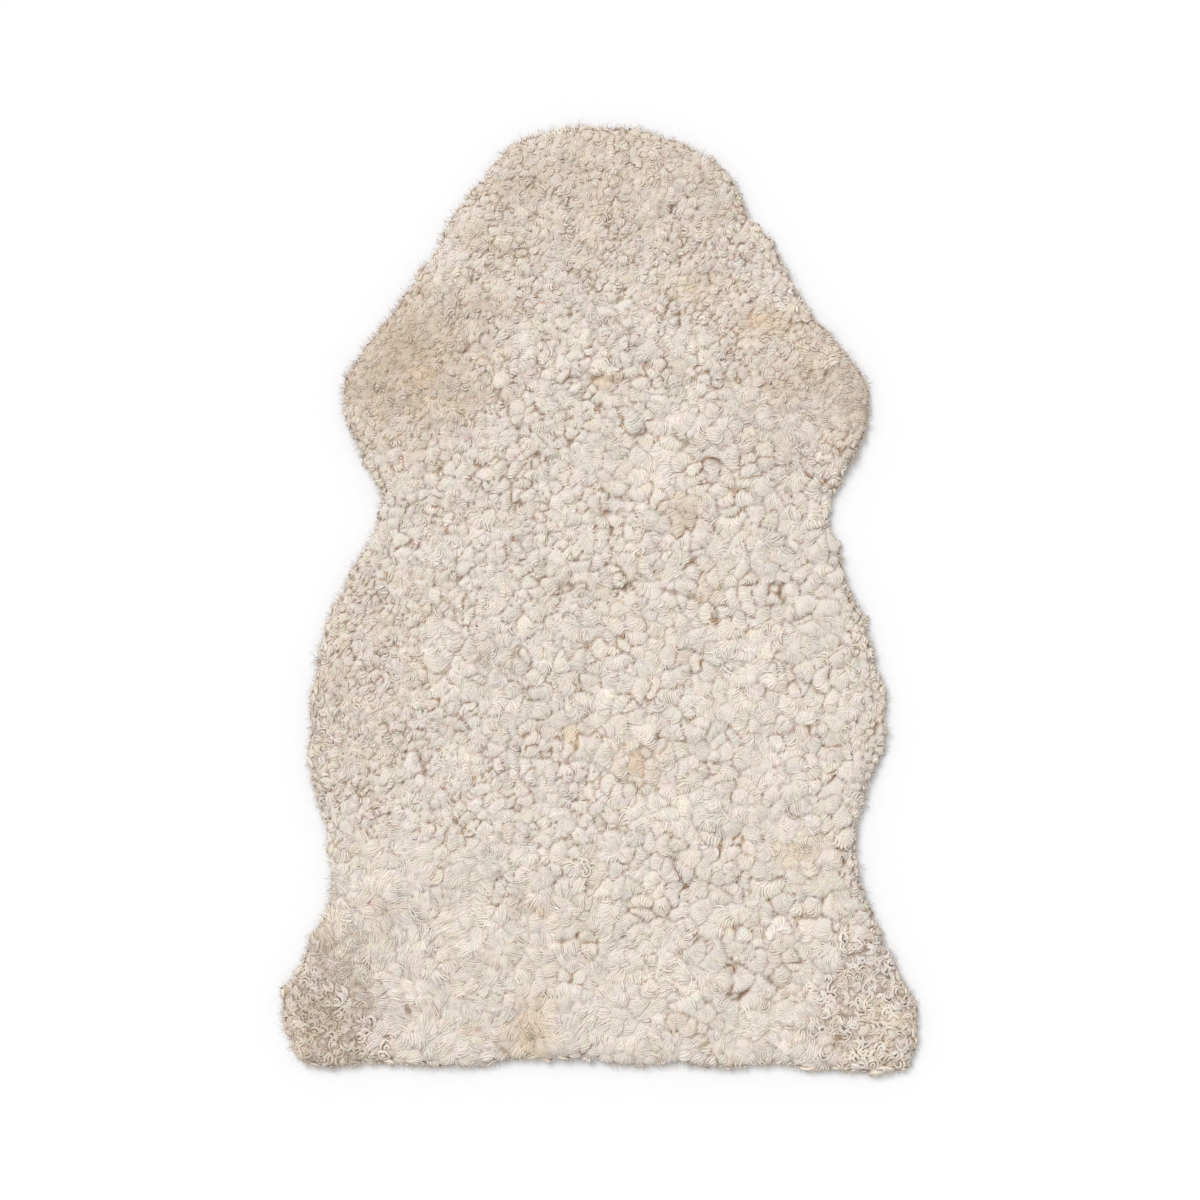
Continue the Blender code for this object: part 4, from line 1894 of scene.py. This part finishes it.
@dataclass
class Wisps:
    """All the strands, kind by kind, in pieces small enough to keep whole.

    Attributes:
        form, bed, tufts: what the strands grow on.
        finish: their finish.
        tree: the node tree that gives them their thickness.
        sides: how many sides a strand has.
        flatness: how thick a strand is, as a share of its width.
        most_triangles: how many triangles one piece may have.
    """

    form: FleeceForm
    bed: Surface
    tufts: Tufts
    finish: WoolFinish
    tree: WispTree
    sides: int = 3
    flatness: float = 0.8
    most_triangles: int = 185000

    def build(self) -> list[bpy.types.Object]:
        """Builds the strands of each kind.

        Returns:
            The pieces.
        """
        material = self.finish.material()
        pieces = []
        for wool in Wool:
            strands = Strands(self.tufts, self.bed, wool)
            pieces += self.pieces_of(f"wool_{wool.value}", strands, HABITS[wool].width, material)
        fuzz = Fuzz(self.tufts, self.bed, self.form)
        return pieces + self.pieces_of(fuzz.name, fuzz, fuzz.width, material)

    def pieces_of(
        self,
        kind: str,
        strands: Lines,
        width: float,
        material: bpy.types.Material,
    ) -> list[bpy.types.Object]:
        """Builds one kind's strands, from the head to the tail.

        Args:
            kind: the piece's name.
            strands: their centre lines.
            width: how wide they are, in millimetres.
            material: their finish.

        Returns:
            One piece, or more where one would be too large.
        """
        points = strands.lines.shape[1]
        each = 2 * self.sides * (points - 2)
        count = math.ceil(len(strands.lines) * each / self.most_triangles)
        order = np.argsort(-strands.lines[:, points // 2, 1])
        pieces = []
        for number, share in enumerate(np.array_split(order, count)):
            suffix = f"_{number + 1}" if count > 1 else ""
            name = f"{kind}{suffix}"
            guide = self.guide(name, strands, share)
            settings = {
                WispTree.WIDTH: width * MM,
                WispTree.FLATNESS: self.flatness,
                WispTree.SIDES: self.sides,
                WispTree.MATERIAL: material,
            }
            mesh = self.tree.run(guide, settings)
            bpy.data.objects.remove(guide)
            pieces.append(add_object(name, mesh))
            LOG.info("%s: %d strands, %d triangles", name, len(share), triangles(mesh))
        return pieces

    def guide(self, name: str, strands: Lines, share: np.ndarray) -> bpy.types.Object:
        """Makes a mesh of bare lines that carry what the strands' points carry.

        Args:
            name: the piece's name.
            strands: all the strands of this kind.
            share: the numbers of this piece's strands.

        Returns:
            The object that holds the lines.
        """
        points = strands.lines.shape[1]
        places = strands.lines[share].reshape(-1, 3)
        first = np.arange(len(share))[:, None] * points + np.arange(points - 1)[None]
        edges = np.stack([first, first + 1], axis=2).reshape(-1, 2)
        mesh = bpy.data.meshes.new(name + "_lines")
        mesh.vertices.add(len(places))
        mesh.vertices.foreach_set("co", places.ravel())
        mesh.edges.add(len(edges))
        mesh.edges.foreach_set("vertices", edges.ravel().astype(np.int32))
        load_facts(mesh, {key: values[share] for key, values in strands.facts.items()})
        up = mesh.attributes.new("up", "FLOAT_VECTOR", "POINT")
        up.data.foreach_set("vector", strands.normals[share].ravel().astype(np.float32))
        mesh.update()
        return add_object(name + "_lines", mesh)


@dataclass
class Studio:
    """The floor, the camera over the rug and the soft light. Lengths are in metres.

    Attributes:
        camera_height: how high the camera hangs.
        sensor: the width of its sensor, in millimetres.
        sight: how far it sees.
        floor_side: the side of the square floor.
        sky, sky_colour: the strength and the colour of the even light.
        key_place: the side that the broad light shines from.
        key_strength, key_colour: its strength and colour.
        key_spread: how broad it is seen from the rug, in radians.
    """

    camera_height: float = 3.2
    sensor: float = 36.0
    sight: float = 50.0
    floor_side: float = 40.0
    sky: float = 0.64
    sky_colour: Colour = (1.0, 0.988, 0.972, 1)
    key_place: tuple[float, float, float] = (-0.9, 1.2, 2.8)
    key_colour: tuple[float, float, float] = (0.985, 1.0, 1.02)
    key_strength: float = 1.86
    key_spread: float = math.radians(30)

    def build(self, finish: FloorFinish) -> None:
        """Sets the floor, the camera and the lights.

        Args:
            finish: the floor's finish.
        """
        self.lay_floor(finish)
        self.hang_camera()
        self.light_sky()
        self.hang_key()

    def lay_floor(self, finish: FloorFinish) -> None:
        """Lays the floor under the rug."""
        bm = bmesh.new()
        bmesh.ops.create_grid(bm, x_segments=1, y_segments=1, size=self.floor_side / 2)
        mesh = finished_mesh("floor", bm)
        mesh.materials.append(finish.material())
        add_object("floor", mesh)

    def hang_camera(self) -> None:
        """Hangs the camera straight over the rug, with the head at the top of the frame."""
        camera = bpy.data.cameras.new("camera")
        camera.sensor_width = self.sensor
        frame_width = PHOTO_SIDE_PX * MM_PER_PX * MM
        camera.lens = self.sensor * self.camera_height / frame_width
        camera.clip_end = self.sight
        hung = add_object("camera", camera)
        hung.location = (0, 0, self.camera_height)
        bpy.context.scene.camera = hung

    def light_sky(self) -> None:
        """Fills the room with even light."""
        world = bpy.data.worlds.new("room")
        world.use_nodes = True
        background = world.node_tree.nodes["Background"]
        background.inputs["Color"].default_value = self.sky_colour
        background.inputs["Strength"].default_value = self.sky
        bpy.context.scene.world = world

    def hang_key(self) -> None:
        """Hangs a broad soft light, far off, that lights the whole floor evenly."""
        light = bpy.data.lights.new("key", "SUN")
        light.energy = self.key_strength
        light.color = self.key_colour
        light.angle = self.key_spread
        hung = add_object("key", light)
        hung.location = self.key_place
        hung.rotation_euler = (-Vector(self.key_place)).to_track_quat("-Z", "Y").to_euler()


def plain_view() -> None:
    """Keeps the colours as they are lit."""
    bpy.context.scene.view_settings.view_transform = "Standard"
    bpy.context.scene.view_settings.look = "None"


def main() -> None:
    """Builds the rug's layers in order, then the studio round it."""
    logging.basicConfig(level=logging.INFO, format="%(message)s")
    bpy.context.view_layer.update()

    form = FleeceForm()
    LOG.info("form: %d triangles", triangles(form.mesh))
    tufts = Tufts(form)
    bed_maker = Undercoat(form, tufts)
    undercoat = bed_maker.build(UndercoatFinish())
    LOG.info("undercoat: %d triangles", triangles(undercoat.data))
    hide_maker = Hide(form)
    hide = hide_maker.build(SuedeFinish())
    LOG.info("hide: %d triangles", triangles(hide.data))
    wisps = Wisps(form, bed_maker.bed, tufts, WoolFinish(), WispTree()).build()
    total = sum(triangles(piece.data) for piece in [undercoat, hide, *wisps])
    LOG.info("all: %d triangles", total)

    for piece in [undercoat, hide, *wisps]:
        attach(piece, "root")
    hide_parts("pelt")
    hide_maker.declare(hide)

    Studio().build(FloorFinish())
    plain_view()


if __name__ == "__main__":
    main()
